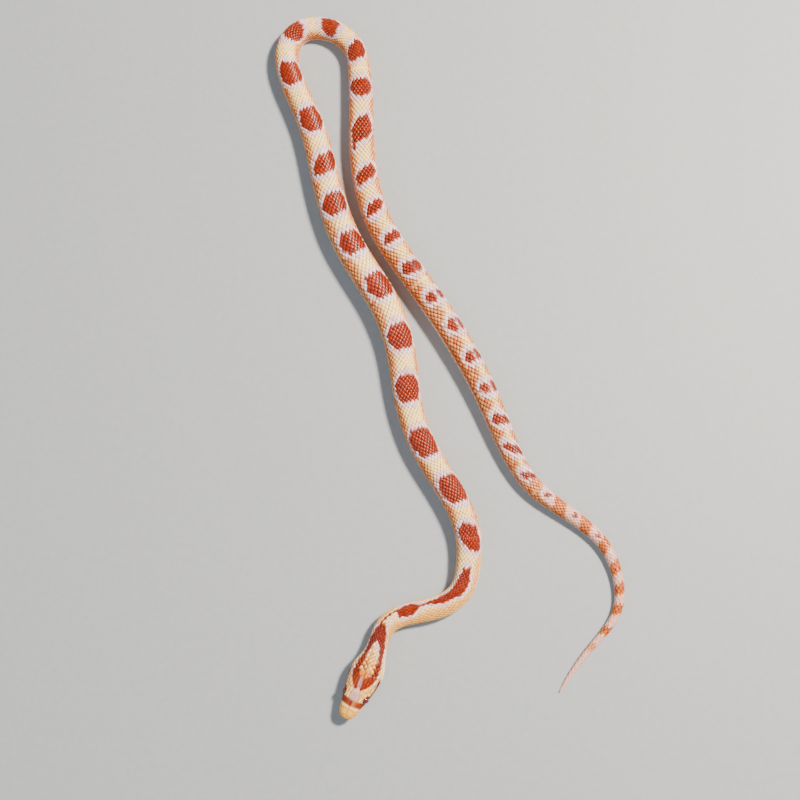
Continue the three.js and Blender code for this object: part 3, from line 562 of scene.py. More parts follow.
def add_mesh(name, points_mm, faces, attributes=None, uv=None, smooth=True):
    """A mesh object from points in millimetres and a face array, its values set as attributes."""
    mesh = bpy.data.meshes.new(name)
    points = np.asarray(points_mm, np.float32).reshape(-1, 3) * MM
    faces = np.asarray(faces, np.int32)
    width = faces.shape[1]
    mesh.vertices.add(len(points))
    mesh.vertices.foreach_set("co", points.ravel())
    mesh.loops.add(faces.size)
    mesh.loops.foreach_set("vertex_index", faces.ravel())
    mesh.polygons.add(len(faces))
    mesh.polygons.foreach_set("loop_start", np.arange(0, faces.size, width, dtype=np.int32))
    mesh.update(calc_edges=True)
    mesh.validate()
    mesh.polygons.foreach_set("use_smooth", np.full(len(mesh.polygons), smooth))
    for key, values in (attributes or {}).items():
        layer = mesh.attributes.new(key, "FLOAT", "POINT")
        layer.data.foreach_set("value", np.asarray(values, np.float32).ravel())
    if uv is not None:
        corners = np.empty(len(mesh.loops), np.int32)
        mesh.loops.foreach_get("vertex_index", corners)
        layer = mesh.uv_layers.new(name="OFBake")
        layer.data.foreach_set("uv", np.asarray(uv, np.float32).reshape(-1, 2)[corners].ravel())
    piece = bpy.data.objects.new(name, mesh)
    bpy.context.scene.collection.objects.link(piece)
    return piece


def add_node(tree, kind, settings=None, inputs=None):
    """A shader node with its settings; an input given as a socket is linked, else set."""
    node = tree.nodes.new(kind)
    for key, value in (settings or {}).items():
        setattr(node, key, value)
    for key, value in (inputs or {}).items():
        if isinstance(value, bpy.types.NodeSocket):
            tree.links.new(value, node.inputs[key])
        else:
            node.inputs[key].default_value = value
    return node


def new_material(name):
    """An empty node material with a Principled shader joined to its output."""
    material = bpy.data.materials.new(name)
    material.use_nodes = True
    tree = material.node_tree
    tree.nodes.clear()
    shader = add_node(tree, "ShaderNodeBsdfPrincipled")
    add_node(tree, "ShaderNodeOutputMaterial", inputs={"Surface": shader.outputs["BSDF"]})
    return material, tree, shader


def mix_colour(tree, strength, under, over):
    """The mix of two colours by a strength; each is a socket or a linear colour."""
    node = add_node(tree, "ShaderNodeMix", {"data_type": "RGBA"}, {0: strength})
    for slot, value in ((6, under), (7, over)):
        if isinstance(value, bpy.types.NodeSocket):
            tree.links.new(value, node.inputs[slot])
        else:
            node.inputs[slot].default_value = value
    return node.outputs[2]


def maths(tree, operation, first, second=0.0, third=0.0, clamp=False):
    """One Math node's result."""
    node = add_node(tree, "ShaderNodeMath", {"operation": operation, "use_clamp": clamp},
                    {0: first, 1: second, 2: third})
    return node.outputs[0]


def attribute(tree, name):
    """A named float attribute of the piece."""
    node = add_node(tree, "ShaderNodeAttribute", {"attribute_name": name})
    return node.outputs["Fac"]


def painted_gap_shade(tree, flank):
    """The mask of painted shade in the gaps between scales: the share of horn near a scale's
    overlapped front, worked out on each point of it, or the edge attribute where that is more. The
    uncovered part is a diamond that starts at a quarter of the length, and wider at the sides."""
    lane = maths(tree, "ABSOLUTE", attribute(tree, "lane"))
    start = maths(tree, "MULTIPLY_ADD", lane, 0.42, 0.31)
    start = maths(tree, "MULTIPLY_ADD", flank, 0.09, start)
    behind = maths(tree, "SUBTRACT", start, attribute(tree, "along"))
    front = maths(tree, "MULTIPLY_ADD", behind, 7.0, 0.5, clamp=True)
    return maths(tree, "MAXIMUM", front, attribute(tree, "edge"))


def scale_material(name, sizes, is_skin):
    """Snake keratin: thin, clear, satin horn over pigment, so each scale shines softly, and painted
    shade deepens its colour where it tucks under the scale before it. The pigments follow the
    markings."""
    material, tree, shader = new_material(name)
    place = add_node(tree, "ShaderNodeTexCoord").outputs["Object"]

    def mottle(size_mm, roughness):
        """Noise whose waves are about this long."""
        return add_node(tree, "ShaderNodeTexNoise", inputs={
            "Vector": place, "Scale": 1 / (size_mm * MM), "Detail": 2.0,
            "Roughness": roughness}).outputs["Fac"]

    def mix(strength, under, over):
        """A mix of pigments by their names, or of what is mixed already."""
        under, over = [linear(getattr(sizes, each)) if isinstance(each, str) else each
                       for each in (under, over)]
        return mix_colour(tree, strength, under, over)

    def times(first, second):
        """The product of two strengths."""
        return maths(tree, "MULTIPLY", first, second)

    # Freckles about 0.35 mm across, and broad drift of the ground colour over some 8 mm
    freckles = mottle(3 * FRECKLE_MM, 0.6)
    drift = mottle(2 * DRIFT_MM, 0.5)
    shade, flank, tail = [attribute(tree, key) for key in ("shade", "flank", "tail")]
    # edge is the mask of painted shade: each gap colour mixed by it below is painted shade where
    # scales tuck under each other and between them
    edge = painted_gap_shade(tree, flank)
    colour = mix(drift, "cream", "cream_warm")
    # Painted shade in the gaps of the cream ground, deeper on some scales than on others
    colour = mix(times(maths(tree, "MULTIPLY_ADD", shade, 0.6, 0.4), edge), colour, "cream_gap_shade")
    pale = maths(tree, "MULTIPLY_ADD", tail, -0.65, 0.8)
    # Painted shade in the gaps between flank scales
    flank_tone = mix(edge, mix(times(shade, pale), "flank", "flank_edge"), "flank_gap_shade")
    colour = mix(flank, colour, flank_tone)
    colour = mix(times(attribute(tree, "yellow"), 0.8), colour, "snout_yellow")
    # Painted shade in the gaps between the lilac rims' scales
    lilac = mix(times(edge, 0.7), mix(shade, "lilac", "lilac_pale"), "lilac_gap_shade")
    colour = mix(attribute(tree, "lilac"), colour, mix(tail, lilac, "tail_pink"))
    # Painted shade in the gaps between saddle scales
    saddle = mix(times(edge, 0.9), mix(shade, "saddle", "saddle_light"), "saddle_gap_shade")
    colour = mix(attribute(tree, "blotch"), colour, saddle)
    colour = mix(attribute(tree, "maroon"), colour, "maroon")
    # Painted shade in the gaps between belly scales
    colour = mix(attribute(tree, "belly"), colour, mix(times(edge, 0.4), "belly", "lilac_gap_shade"))
    freckled = maths(tree, "MULTIPLY", maths(tree, "SUBTRACT", freckles, 0.45), 0.6, clamp=True)
    tree.links.new(mix(freckled, colour, "freckle"), shader.inputs["Base Color"])
    # Keratin's refraction, a weak thin coat, and light that goes a little way into the skin
    for key, value in (("IOR", 1.39), ("Specular IOR Level", 0.36), ("Subsurface Weight", 0.08),
                       ("Subsurface Radius", (1.0 * MM, 0.5 * MM, 0.3 * MM)),
                       ("Subsurface Scale", 0.5), ("Coat Weight", 0.1), ("Coat Roughness", 0.14)):
        shader.inputs[key].default_value = value
    roughness = add_node(tree, "ShaderNodeMapRange", inputs={
        "Value": freckles, "To Min": sizes.gloss - 0.08, "To Max": sizes.gloss + 0.12})
    tree.links.new(roughness.outputs["Result"], shader.inputs["Roughness"])
    bump = add_node(tree, "ShaderNodeBump", inputs={
        "Height": freckles, "Strength": 0.25 if is_skin else 0.15, "Distance": 0.05 * MM})
    tree.links.new(bump.outputs["Normal"], shader.inputs["Normal"])
    return material


def across_of(distance, share):
    """Arc distance from the midline of the back, in millimetres, left positive."""
    return share * perimeter(distance)


def head_measure(distance, share):
    """The head's measure of a share of the way round: 1 at the lip, 2 under the throat."""
    lip = lip_share(distance)
    size = np.abs(share)
    above = size / np.maximum(lip, 1e-6)
    below = 1 + (size - lip) / np.maximum(0.5 - lip, 1e-6)
    return np.sign(share) * np.where(size <= lip, above, below)


def markings_at(distance, share, wobble):
    """Marking attributes at places given by distance and share of the way round."""
    return marking_attributes(distance, across_of(distance, share),
                              head_measure(distance, share), wobble)


def grid_faces(rows, columns, wraps=False):
    """Quads of a grid of points, its last column joined to its first where it wraps."""
    i, j = np.meshgrid(np.arange(rows - 1), np.arange(columns if wraps else columns - 1),
                       indexing="ij")
    after = (j + 1) % columns
    return np.stack([i * columns + j, i * columns + after, (i + 1) * columns + after,
                     (i + 1) * columns + j], -1).reshape(-1, 4)


def as_triangles(quads):
    """Each quad as two triangles, split along its first diagonal."""
    return np.concatenate([quads[:, [0, 1, 2]], quads[:, [0, 2, 3]]])


def size_setting(name, description, millimetres):
    """A length that the panel shows."""
    return bpy.props.FloatProperty(name=name, description=description,
                                   default=millimetres * MM, unit="LENGTH", precision=5)


def share_setting(name, description, value):
    """A plain number that the panel shows."""
    return bpy.props.FloatProperty(name=name, description=description, default=value)


def pigment(name, description, hex_colour):
    """A colour that the panel shows as its sRGB hex."""
    return bpy.props.StringProperty(name=name, description=description, default=hex_colour)


class SnakeSizes(bpy.types.PropertyGroup):
    """Sizes, pigments and colours of painted shade that a user would change."""

    skin_depth: size_setting("Coat depth", "How far the skin lies inside the solids", 0.42)
    scale_top: size_setting("Scale top", "How far a scale's highest line lies inside the solids", 0.03)
    scale_length: share_setting("Scale length", "Scale length over the pitch of its row", 1.3)
    scale_width: share_setting("Scale width", "Scale width over twice the row spacing", 0.86)
    shield_raise: size_setting("Shield rise", "How far a head shield stands over its seams", 0.16)
    gloss: share_setting("Scale roughness", "Mean roughness of the horn", 0.34)
    cream: pigment("Cream", "Ground between the saddles", "#ffe9a4")
    cream_warm: pigment("Warm cream", "Warmer drift of the ground", "#ffcc74")
    # Painted shade: the colour of the gaps in the cream ground and the shields' seams
    cream_gap_shade: pigment("Fleck", "Orange flecks in the ground", "#94501c")
    flank: pigment("Flank", "Orange of the flanks", "#d06410")
    flank_edge: pigment("Flank edge", "Pale flank scales", "#fbc47e")
    # Painted shade: the colour of the gaps between flank scales
    flank_gap_shade: pigment("Flank gap", "Orange between flank scales", "#8a2c00")
    saddle: pigment("Saddle", "Red orange of the saddles", "#741800")
    saddle_light: pigment("Light saddle", "Lighter saddle scales", "#902600")
    # Painted shade: the colour of the gaps between saddle scales
    saddle_gap_shade: pigment("Saddle gap", "Deep red between saddle scales", "#330800")
    lilac: pigment("Lilac", "Rims fore and aft of each saddle", "#d6abae")
    lilac_pale: pigment("Pale lilac", "Paler scales of the rims", "#eed0d0")
    maroon: pigment("Maroon", "Stripe behind each eye", "#4a0806")
    snout_yellow: pigment("Snout", "Yellow of the snout", "#e09a00")
    belly: pigment("Belly", "Ivory belly", "#f5ecdc")
    # Painted shade: the colour of the gaps between the rims' and the belly's scales
    lilac_gap_shade: pigment("Lilac gap", "Grey lilac between the rims' scales", "#9a7470")
    tail_pink: pigment("Tail tip", "Pinkish white of the tail's last third", "#dca493")
    freckle: pigment("Freckle", "Fine brown orange freckles", "#a8501c")


def sizes_now():
    """The settings that the scene holds."""
    return bpy.context.scene.snake_sizes


def plain_horn(like):
    """Attributes of a surface that no scale overlaps: along 1 and lane 0 everywhere."""
    return {"along": np.ones_like(like), "lane": np.zeros_like(like)}


class AddSkin(bpy.types.Operator):
    """One skin from the snout to the tail tip, in place of every flesh solid"""

    bl_idname = "snake.add_skin"
    bl_label = "Skin"

    def execute(self, context):
        sizes = sizes_now()
        head = HEAD_END_MM * np.linspace(0, 1, SKIN_RINGS_HEAD) ** 1.25
        body = np.linspace(HEAD_END_MM, BODY_LENGTH_MM - 0.2, SKIN_RINGS_BODY + 1)[1:]
        distance = np.concatenate([head, body])
        share = np.arange(SKIN_AROUND) / SKIN_AROUND
        signed = np.where(share > 0.5, share - 1, share)
        d, q = np.meshgrid(distance, signed, indexing="ij")
        inward = -sizes.skin_depth / MM * smooth_step(0, 2, BODY_LENGTH_MM - d)
        points = surface(d, q, inward * np.clip(d / 3, 0.15, 1))
        attributes = markings_at(d, q, np.zeros_like(d)) | plain_horn(d)
        # The skin between the scales takes most of the gap colours: painted shade
        attributes |= {"shade": np.full_like(d, 0.5), "edge": np.full_like(d, 0.8)}
        # One more point closes each end
        points = np.concatenate([points.reshape(-1, 3), [points[0].mean(0), points[-1].mean(0)]])
        attributes = {key: np.append(value.ravel(), [value[0].mean(), value[-1].mean()])
                      for key, value in attributes.items()}
        ring = np.arange(SKIN_AROUND)
        after = (ring + 1) % SKIN_AROUND
        last = (len(distance) - 1) * SKIN_AROUND
        snout, tip = len(points) - 2, len(points) - 1
        faces = np.concatenate([
            as_triangles(grid_faces(len(distance), SKIN_AROUND, wraps=True)),
            np.stack([np.full_like(ring, snout), after, ring], -1),
            np.stack([np.full_like(ring, tip), last + ring, last + after], -1)])
        uv = np.stack([d / BODY_LENGTH_MM, q + 0.5], -1).reshape(-1, 2)
        uv = np.concatenate([uv, [[0, 0.5], [1, 0.5]]])
        skin = add_mesh("skin", points, faces, attributes, uv)
        skin.data.materials.append(scale_material("thin skin between the scales", sizes, True))
        flesh = [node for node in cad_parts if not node.startswith("eye_")]
        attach(skin, "root")
        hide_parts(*flesh)
        return {"FINISHED"}


def scale_template():
    """One scale as a closed solid: a leaf of six cross rows, domed and keeled, with a thin wall.

    Returns along (0 front to 1 tip), across (-1 to 1), lane (-1 to 1 in each row), top share
    (1 top, 0 underside) and faces."""
    rows = np.array([0.0, 0.22, 0.46, 0.7, 0.89, 1.0])
    half = np.array([0.62, 0.9, 1.0, 0.84, 0.5, 0.16])
    lanes = np.array([-1, -0.5, 0, 0.5, 1.0])
    along = np.repeat(rows, 5)
    across = np.outer(half, lanes).ravel()
    lane = np.tile(lanes, 6)
    top = np.arange(30).reshape(6, 5)
    rim = np.concatenate([top[0], top[1:, 4], top[5, 3::-1], top[4:0:-1, 0]])
    low = 30 + np.arange(len(rim))
    walls = np.stack([rim, low, np.roll(low, -1), np.roll(rim, -1)], -1)
    under = dict(zip(rim, low))
    middle = [[under[top[i, 0]], under[top[i + 1, 0]], under[top[i + 1, 4]], under[top[i, 4]]]
              for i in range(1, 4)]
    upper = grid_faces(6, 5)
    faces = list(as_triangles(np.concatenate([upper, walls, middle])))
    # The underside's front and tip are fans from the left corner of the next row
    for row, fan, turn in ((0, under[top[1, 0]], 1), (5, under[top[4, 0]], -1)):
        edge = [under[top[row, j]] for j in range(5)]
        faces += [[edge[j], edge[j + 1], fan][::turn] for j in range(4)]
    faces += [[under[top[1, 0]], under[top[1, 4]], under[top[0, 4]]],
              [under[top[4, 0]], under[top[5, 4]], under[top[4, 4]]]]
    along, across, lane = [np.concatenate([each, each[rim]]) for each in (along, across, lane)]
    is_top = np.concatenate([np.ones(30), np.zeros(len(rim))])
    return along, across, lane, is_top, np.array(faces)


def lattice(start, end, rows, seed):
    """Centres of scales in alternate rows, each row half a pitch behind its neighbours."""
    draw = np.random.default_rng(seed)
    width = float(perimeter(np.array([(start + end) / 2]))[0])
    spacing = 2 * DORSAL_SHARE * width / rows
    count = max(2, int(round((end - start) / (2.5 * spacing))))
    pitch = (end - start) / count
    i, j = np.meshgrid(np.arange(-1, count), np.arange(rows), indexing="ij")
    distance = start + (i + 0.25 + 0.5 * (j % 2)) * pitch
    share = (j - (rows - 1) / 2) * 2 * DORSAL_SHARE / rows
    distance = distance + draw.normal(0, 0.025 * pitch, distance.shape)
    shade = draw.random(distance.shape)
    return distance.ravel(), share.ravel(), shade.ravel(), pitch, 2 * DORSAL_SHARE / rows


def build_scales(name, start, end, rows, seed):
    """A joined mesh of the scales of one length, wrapped over the skin by the surface formula."""
    sizes = sizes_now()
    centre, share, shade, pitch, step = lattice(start, end, rows, seed)
    keep = (centre > FIRST_SCALE_MM) & (centre > start - 0.32 * pitch)
    centre, share, shade = [each[keep, None] for each in (centre, share, shade)]
    along, across, lane, is_top, faces = scale_template()
    size = np.clip(sections(centre)[0] / 5, 0.25, 1.1)
    d = centre + (along - 0.45) * pitch * sizes.scale_length
    q = share + across * step * sizes.scale_width
    # Each scale rises from under the one before it, domed across, keeled, and turned down at its tip
    rise = smooth_step(0.0, 0.75, along)
    keel = 0.035 * np.exp(-(lane / 0.22) ** 2)
    dome = -0.10 * lane ** 2 * (0.4 + 0.6 * rise) + keel - 0.05 * smooth_step(0.86, 1.0, along)
    crest = -sizes.scale_top / MM - 0.04
    tuck = -sizes.skin_depth / MM - 0.06
    outward = tuck + (crest - tuck) * rise + dome - (1 - is_top) * SCALE_THICKNESS_MM
    points = surface(np.clip(d, 0, BODY_LENGTH_MM), q, outward * size)
    # A scale takes its markings mostly from its middle, so that it is nearly one colour
    own = 0.25
    attributes = markings_at(centre + (d - centre) * own, share + (q - share) * own,
                             np.broadcast_to(shade - 0.5, d.shape))
    # A scale's underside takes the full gap colour: painted shade
    for key, value in (("shade", shade), ("along", along), ("lane", across), ("edge", 1 - is_top)):
        attributes[key] = np.broadcast_to(value, d.shape)
    root = np.stack([(centre - start) / (end - start), share / (2 * DORSAL_SHARE) + 0.5], -1)
    uv = 0.02 + 0.96 * root + BAKE_PATCH * np.stack([along - 0.5, across / 2], -1)
    offsets = (np.arange(len(centre)) * len(along))[:, None, None]
    piece = add_mesh(name, points, (faces + offsets).reshape(-1, 3), attributes, uv)
    piece.data.materials.append(scale_material(f"horn of {name}", sizes, False))
    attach(piece, "root")


class AddScales(bpy.types.Operator):
    """Overlapping keeled scales in alternate rows over the back and flanks"""

    bl_idname = "snake.add_scales"
    bl_label = "Back scales"

    def execute(self, context):
        seed = 11
        for piece_name, piece_start, piece_end in SCALE_PIECES_MM:
            number = 0
            for start, end, rows in ROW_LENGTHS_MM:
                low, high = max(start, piece_start), min(end, piece_end)
                if high - low > 1:
                    seed += 1
                    number += 1
                    build_scales(f"{piece_name}_{number}", low, high, rows, seed)
        return {"FINISHED"}


def slab_faces(rows, columns):
    """Triangles of a closed slab: a grid of top points, then the same grid below, and walls."""
    top = grid_faces(rows, columns)[:, [0, 3, 2, 1]]
    count = rows * columns
    grid = np.arange(count).reshape(rows, columns)
    rim = np.concatenate([grid[0, :-1], grid[:-1, -1], grid[-1, :0:-1], grid[:0:-1, 0]])
    after = np.roll(rim, -1)
    walls = np.stack([rim, after, after + count, rim + count], -1)
    return as_triangles(np.concatenate([top, top[:, ::-1] + count, walls]))


def scute_edges(start, end):
    """Front edges of the scutes, each as far behind the last as a share of the body's width."""
    edges = [start]
    while edges[-1] < end:
        half_width = float(sections(np.array([edges[-1]]))[0][0])
        edges.append(edges[-1] + max(2 * half_width * SCUTE_PITCH_TO_WIDTH, 0.5))
    return np.array(edges)


def build_scutes(name, start, end, sides):
    """A joined mesh of broad belly scutes, each low in front and proud at its curved rear edge.

    Each side is [lowest, highest] share of the belly strip, so that two sides make pairs."""
    sizes = sizes_now()
    edges = scute_edges(start, end)
    front, pitch = edges[:-1, None], np.diff(edges)[:, None]
    row, lane = [each.ravel() for each in np.meshgrid(SCUTE_ROWS, SCUTE_LANES, indexing="ij")]
    sets = []
    for low, high in sides:
        over = low + (high - low) * (lane + 1) / 2
        d = front + (row * 1.22 - 0.1 - 0.16 * over ** 2 * row) * pitch
        q = np.broadcast_to(0.5 + over * (BELLY_SHARE + 0.006), d.shape)
        size = np.clip(sections(d)[0] / 5, 0.3, 1.1)
        level = -0.34 + 0.3 * smooth_step(0, 0.9, row) - 0.05 * smooth_step(0.9, 1.0, row)
        level = (level - 0.12 * smooth_step(0.93, 1.0, np.abs(over))) * size
        held = np.clip(d, 0, BODY_LENGTH_MM)
        layers = [surface(held, q, level), surface(held, q, level - 0.1 * size)]
        over = np.broadcast_to(over, d.shape)
        sets.append([np.concatenate(pair, 1) for pair in (layers, (d, d), (q, q), (over, over))])
    points, d, q, over = [np.concatenate(each) for each in zip(*sets)]
    count, corners = d.shape
    zero = np.zeros_like(d)
    flank = smooth_step(0.86, 1.0, np.abs(over)) * 0.7
    tail = smooth_step(540, 575, d)
    attributes = {key: zero for key in ("blotch", "maroon", "yellow", "edge")} | plain_horn(d)
    attributes |= {"lilac": tail, "flank": flank, "belly": (1 - flank) * (1 - 0.8 * tail),
                   "tail": tail, "shade": zero + 0.5}
    uv = np.stack([(d - start) / (end - start), q], -1) * 0.98 + 0.01
    faces = slab_faces(len(SCUTE_ROWS), len(SCUTE_LANES))
    offsets = (np.arange(count) * corners)[:, None, None]
    piece = add_mesh(name, points, (faces + offsets).reshape(-1, 3), attributes, uv)
    weld(piece)
    piece.data.materials.append(scale_material(f"horn of {name}", sizes, False))
    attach(piece, "root")


class AddScutes(bpy.types.Operator):
    """Broad scutes across the belly, and pairs of them under the tail"""

    bl_idname = "snake.add_scutes"
    bl_label = "Belly scutes"

    def execute(self, context):
        build_scutes("belly_scutes", SCUTES_START_MM, VENT_MM, [(-1, 1)])
        build_scutes("tail_scutes", VENT_MM, SCUTES_END_MM, [(-1, -0.01), (0.01, 1)])
        return {"FINISHED"}


class AddShields(bpy.types.Operator):
    """The smooth shields of the crown, cheeks, lips and chin, with narrow seams between them"""

    bl_idname = "snake.add_shields"
    bl_label = "Head shields"

    def execute(self, context):
        sizes = sizes_now()
        distance = np.concatenate([np.linspace(0, SNOUT_GRID_MM, 26),
                                   np.linspace(SNOUT_GRID_MM, SHIELDS_END_MM, 172)[1:]])
        half = np.linspace(0, 2, 171)
        d, m = np.meshgrid(distance, np.concatenate([-half[:0:-1], half]), indexing="ij")
        q = share_from_head(d, m)
        rise, shade, edge = shield_relief(d, m)
        # The shields sink under the first scales of the nape and the first scutes of the throat
        throat = smooth_step(9.2, 10.4, d) * smooth_step(1.36, 1.44, np.abs(m))
        fade = smooth_step(18.3, 17.4, d) * (1 - throat)
        seam_level = -SEAM_DEPTH_MM * np.clip(d / 3, 0.15, 1)
        outward = seam_level + rise * sizes.shield_raise / MM * fade - 0.16 * (1 - fade)
        points = surface(d, q, outward)
        attributes = marking_attributes(d, across_of(d, q), m, np.zeros_like(d)) | plain_horn(d)
        # edge carries the painted shade of the shields' seams, the mouth line and the nostrils
        rim = eye_rim(points)
        attributes |= {"maroon": strongest(attributes["maroon"], rim), "shade": shade,
                       "edge": strongest(edge, rim)}
        quads = grid_faces(*d.shape)
        uv = np.stack([d / 19, m / 4 + 0.5], -1)
        reach = np.abs(m[:-1, :-1] + m[1:, 1:]).ravel() / 2
        for name, slot, chosen in (("head_shields", "head_scales", reach < 1),
                                   ("jaw_shields", "jaw_scales", reach > 1)):
            used, numbers = np.unique(quads[chosen], return_inverse=True)
            faces = as_triangles(numbers.reshape(-1, 4))
            mine = {key: value.ravel()[used] for key, value in attributes.items()}
            piece = add_mesh(name, points.reshape(-1, 3)[used], faces, mine,
                             uv.reshape(-1, 2)[used])
            piece.data.materials.append(scale_material(f"smooth horn of {name}", sizes, False))
            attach(piece, "root")
        return {"FINISHED"}


def eye_rim(points):
    """Strength of the dark ring round each eye: full at the eyeball, gone a little way outside it."""
    nearest = np.full(points.shape[:-1], 99.0)
    for side in (1, -1):
        centre, _ = eye_place(side)
        nearest = np.minimum(nearest, np.linalg.norm(points - centre, axis=-1))
    return smooth_step(EYE_SOCKET_MM + 0.25, EYE_SOCKET_MM, nearest)


def polygon_depth(x, y, corners):
    """Distance inside a polygon, in the plane's units; negative outside it."""
    corners = np.array(corners, float)
    inside = np.zeros(x.shape, bool)
    depth = np.full(x.shape, 99.0)
    for (ax, ay), (bx, by) in zip(corners, np.roll(corners, -1, axis=0)):
        dx, dy = bx - ax, by - ay
        t = np.clip(((x - ax) * dx + (y - ay) * dy) / max(dx * dx + dy * dy, 1e-12), 0, 1)
        depth = np.minimum(depth, np.hypot(x - ax - t * dx, y - ay - t * dy))
        crosses = (ay > y) != (by > y)
        at = ax + (y - ay) * dx / (dy if dy else 1e-12)
        inside ^= crosses & (x < at)
    return np.where(inside, depth, -depth)


def shield_polygons():
    """Every shield as corners of distance and head measure, left and right."""
    shapes = [FRONTAL_SHIELD + [(d, -m) for d, m in FRONTAL_SHIELD[::-1] if m != 0]]
    paired = list(PAIRED_SHIELDS.values())
    for edges, far in ((UPPER_LIP_EDGES_MM, UPPER_LIP_SHARE), (LOWER_LIP_EDGES_MM, LOWER_LIP_SHARE)):
        for start, end in zip(edges[:-1], edges[1:]):
            paired.append([(start, 1.0), (start, far), (end, far), (end, 1.0)])
    for corners in paired:
        shapes += [corners, [(d, -m) for d, m in corners]]
    return shapes


def lip_reach(distance):
    """Arc from the midline to the lip, about, in millimetres."""
    return np.interp(distance, *np.array(LIP_REACH_MM).T)


def shield_relief(distance, measure):
    """Relief of the shields: 1 on a shield's face, falling in a rounded bevel to 0 at its seams.

    The head measure is stretched to millimetres, so that every seam is as wide as the next."""
    lip = lip_reach(distance)
    size = np.abs(measure)
    rise = np.zeros_like(distance)
    shade = np.full_like(distance, 0.5)
    draw = np.random.default_rng(5)
    for corners in shield_polygons():
        scale = float(np.mean([lip_reach(d) for d, _ in corners]))
        depth = polygon_depth(distance, measure * scale, [(d, m * scale) for d, m in corners])
        face = np.sqrt(np.clip((depth - SEAM_MM / 2) / (2.6 * SEAM_MM), 0, 1))
        rise = strongest(rise, face * (1 + 0.12 * smooth_step(0, 1.2, depth)))
        shade = np.where(depth > 0, draw.random(), shade)
    rostral = smooth_step(1.0, 0.6, distance + 0.4 * size)
    rise = strongest(rise, 0.8 * rostral * (size < 1))
    mouth = np.exp(-((size - 1) * lip / 0.13) ** 2) * smooth_step(17.6, 17.2, distance)
    nostril = np.hypot(distance - NOSTRIL_AT[0], (size - NOSTRIL_AT[1]) * lip)
    hole = smooth_step(0.4, 0.22, nostril)
    rise = rise * (1 - mouth) - 2.4 * mouth - 2.6 * hole
    # Painted shade: the gap colour darkens the bevels into the seams, the mouth line and the nostrils
    edge = np.sqrt(np.clip(1 - rise, 0, 1)) * 0.9 + 0.1 * strongest(mouth, hole)
    return rise, shade, edge


def eye_place(side):
    """Centre of an eye and its outward direction: sunk below the head's surface at its angle."""
    distance = np.array([EYE_DISTANCE_MM])
    half_width, height, _, tilt = sections(distance)
    across, up = loaf(np.array([EYE_ANGLE]), half_width, height)
    inward = EYE_RADIUS_MM * EYE_SINK
    centre = carry(distance, side * (across - inward * math.cos(EYE_ANGLE)),
                   up - inward * math.sin(EYE_ANGLE))[0]
    heading = np.append(route_at(distance)[1][0], 0.0)
    left = np.array([heading[1], -heading[0], 0.0])
    lean, turn = side * math.cos(EYE_ANGLE), float(tilt[0])
    out_across = lean * math.cos(turn) - math.sin(EYE_ANGLE) * math.sin(turn)
    out_up = lean * math.sin(turn) + math.sin(EYE_ANGLE) * math.cos(turn)
    outward = left * out_across + np.array([0, 0, out_up]) - EYE_LEANS_AHEAD * heading
    return centre, outward / np.linalg.norm(outward)


def eye_material(name):
    """A snake's eye under its clear spectacle: dark red pupil, maroon iris, wet and very glossy."""
    material, tree, shader = new_material(name)
    ramp = add_node(tree, "ShaderNodeValToRGB", inputs={"Fac": attribute(tree, "from_pupil")})
    stops = ramp.color_ramp.elements
    for position, colour in EYE_RINGS[1:-1]:
        stops.new(position).color = linear(colour)
    stops[0].color = linear(EYE_RINGS[0][1])
    stops[-1].color = linear(EYE_RINGS[-1][1])
    tree.links.new(ramp.outputs["Color"], shader.inputs["Base Color"])
    for key, value in (("Roughness", 0.06), ("IOR", 1.38), ("Coat Weight", 1.0),
                       ("Coat Roughness", 0.02)):
        shader.inputs[key].default_value = value
    return material


class AddEyes(bpy.types.Operator):
    """Two round glossy eyes under clear spectacles, each set in its ring of shields"""

    bl_idname = "snake.add_eyes"
    bl_label = "Eyes"

    def execute(self, context):
        for name, side in (("left", 1), ("right", -1)):
            centre, outward = eye_place(side)
            polar = np.linspace(0, math.pi, 33)
            turn = np.arange(48) * 2 * math.pi / 48
            a, b = np.meshgrid(polar, turn, indexing="ij")
            up = np.cross(outward, [0.0, 0.0, 1.0])
            up /= np.linalg.norm(up)
            other = np.cross(outward, up)
            radius = EYE_RADIUS_MM - 0.01
            points = centre + radius * (np.cos(a)[..., None] * outward
                                        + (np.sin(a) * np.cos(b))[..., None] * up
                                        + (np.sin(a) * np.sin(b))[..., None] * other)
            faces = as_triangles(grid_faces(len(polar), len(turn), wraps=True))
            eye = add_mesh(f"eye_{name}_globe", points, faces, {"from_pupil": a / (math.pi / 2)})
            weld(eye)
            eye.data.materials.append(eye_material(f"wet spectacle of the {name} eye"))
            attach(eye, "root")
            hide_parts(f"eye_{name}")
        return {"FINISHED"}


def weld(piece):
    """Merges doubled poles and turns the faces outward."""
    bm = bmesh.new()
    bm.from_mesh(piece.data)
    bmesh.ops.remove_doubles(bm, verts=bm.verts, dist=1e-7)
    bmesh.ops.recalc_face_normals(bm, faces=bm.faces)
    bm.to_mesh(piece.data)
    bm.free()
    piece.data.polygons.foreach_set("use_smooth", np.full(len(piece.data.polygons), True))


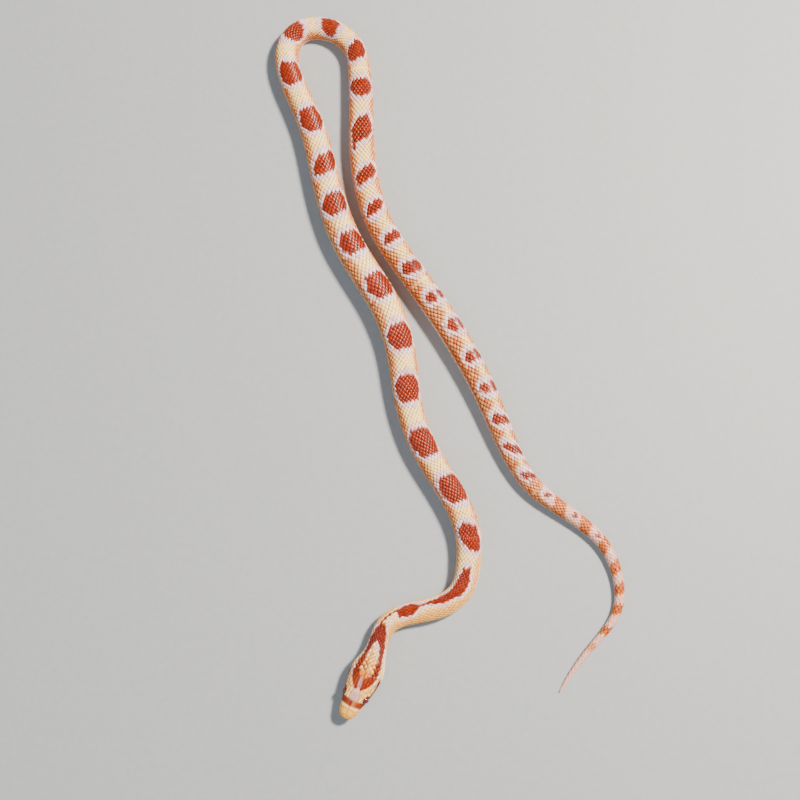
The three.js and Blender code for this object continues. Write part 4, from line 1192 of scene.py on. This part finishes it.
class AddStage(bpy.types.Operator):
    """Pale floor, soft light from the upper right and the camera above"""

    bl_idname = "snake.add_stage"
    bl_label = "Stage"

    def execute(self, context):
        corners = np.array([(-1, -1, 0), (1, -1, 0), (1, 1, 0), (-1, 1, 0)]) * FLOOR_HALF_MM
        floor = add_mesh("floor", corners, np.array([[0, 1, 2], [0, 2, 3]]), smooth=False)
        material, tree, shader = new_material("pale grey painted board")
        grain = add_node(tree, "ShaderNodeTexNoise", inputs={
            "Vector": add_node(tree, "ShaderNodeTexCoord").outputs["Object"],
            "Scale": 1 / (2.5 * MM), "Detail": 4.0, "Roughness": 0.7})
        colour = mix_colour(tree, grain.outputs["Fac"], linear("#8e9396"), linear("#9ea3a6"))
        tree.links.new(colour, shader.inputs["Base Color"])
        shader.inputs["Roughness"].default_value = 0.6
        floor.data.materials.append(material)

        world = bpy.data.worlds.new("studio")
        world.use_nodes = True
        background = world.node_tree.nodes["Background"]
        background.inputs["Color"].default_value = linear("#eef1f6")
        background.inputs["Strength"].default_value = 0.38
        context.scene.world = world
        for name, place, size, watts, colour in LIGHTS:
            data = bpy.data.lights.new(name, "AREA")
            data.energy = watts
            data.size = size
            data.color = linear(colour)[:3]
            lamp = bpy.data.objects.new(name, data)
            lamp.location = place
            lamp.rotation_euler = (-Vector(place)).to_track_quat("-Z", "Y").to_euler()
            context.scene.collection.objects.link(lamp)

        camera_data = bpy.data.cameras.new("camera")
        camera_data.sensor_width = 36
        camera_data.angle = CAMERA_FIELD
        camera_data.clip_start = 0.01
        camera_data.dof.use_dof = False
        camera = bpy.data.objects.new("camera", camera_data)
        context.scene.collection.objects.link(camera)
        back = Vector((0.0, -math.cos(CAMERA_ELEVATION), math.sin(CAMERA_ELEVATION)))
        camera.location = (Vector((*CAMERA_TARGET_MM, 0.0)) + back * CAMERA_DISTANCE_MM) * MM
        camera.rotation_euler = (-back).to_track_quat("-Z", "Y").to_euler()
        context.scene.camera = camera
        return {"FINISHED"}


OPERATORS = [AddSkin, AddScales, AddScutes, AddShields, AddEyes, AddStage]


class SnakePanel(bpy.types.Panel):
    """Sizes, pigments and the pieces of the snake"""

    bl_idname = "VIEW3D_PT_snake"
    bl_label = "Corn Snake"
    bl_space_type = "VIEW_3D"
    bl_region_type = "UI"
    bl_category = "Snake"

    def draw(self, context):
        sizes = context.scene.snake_sizes
        for key in SnakeSizes.__annotations__:
            self.layout.prop(sizes, key)
        for operator in OPERATORS:
            self.layout.operator(operator.bl_idname)


CLASSES = [SnakeSizes, *OPERATORS, SnakePanel]


def register():
    """Registers the classes and the settings."""
    for each in CLASSES:
        bpy.utils.register_class(each)
    bpy.types.Scene.snake_sizes = bpy.props.PointerProperty(type=SnakeSizes)


def unregister():
    """Takes the settings and the classes away again."""
    del bpy.types.Scene.snake_sizes
    for each in reversed(CLASSES):
        bpy.utils.unregister_class(each)


def main():
    """Builds every piece in order."""
    register()
    for operator in OPERATORS:
        group, name = operator.bl_idname.split(".")
        getattr(getattr(bpy.ops, group), name)()


if __name__ == "__main__":
    main()
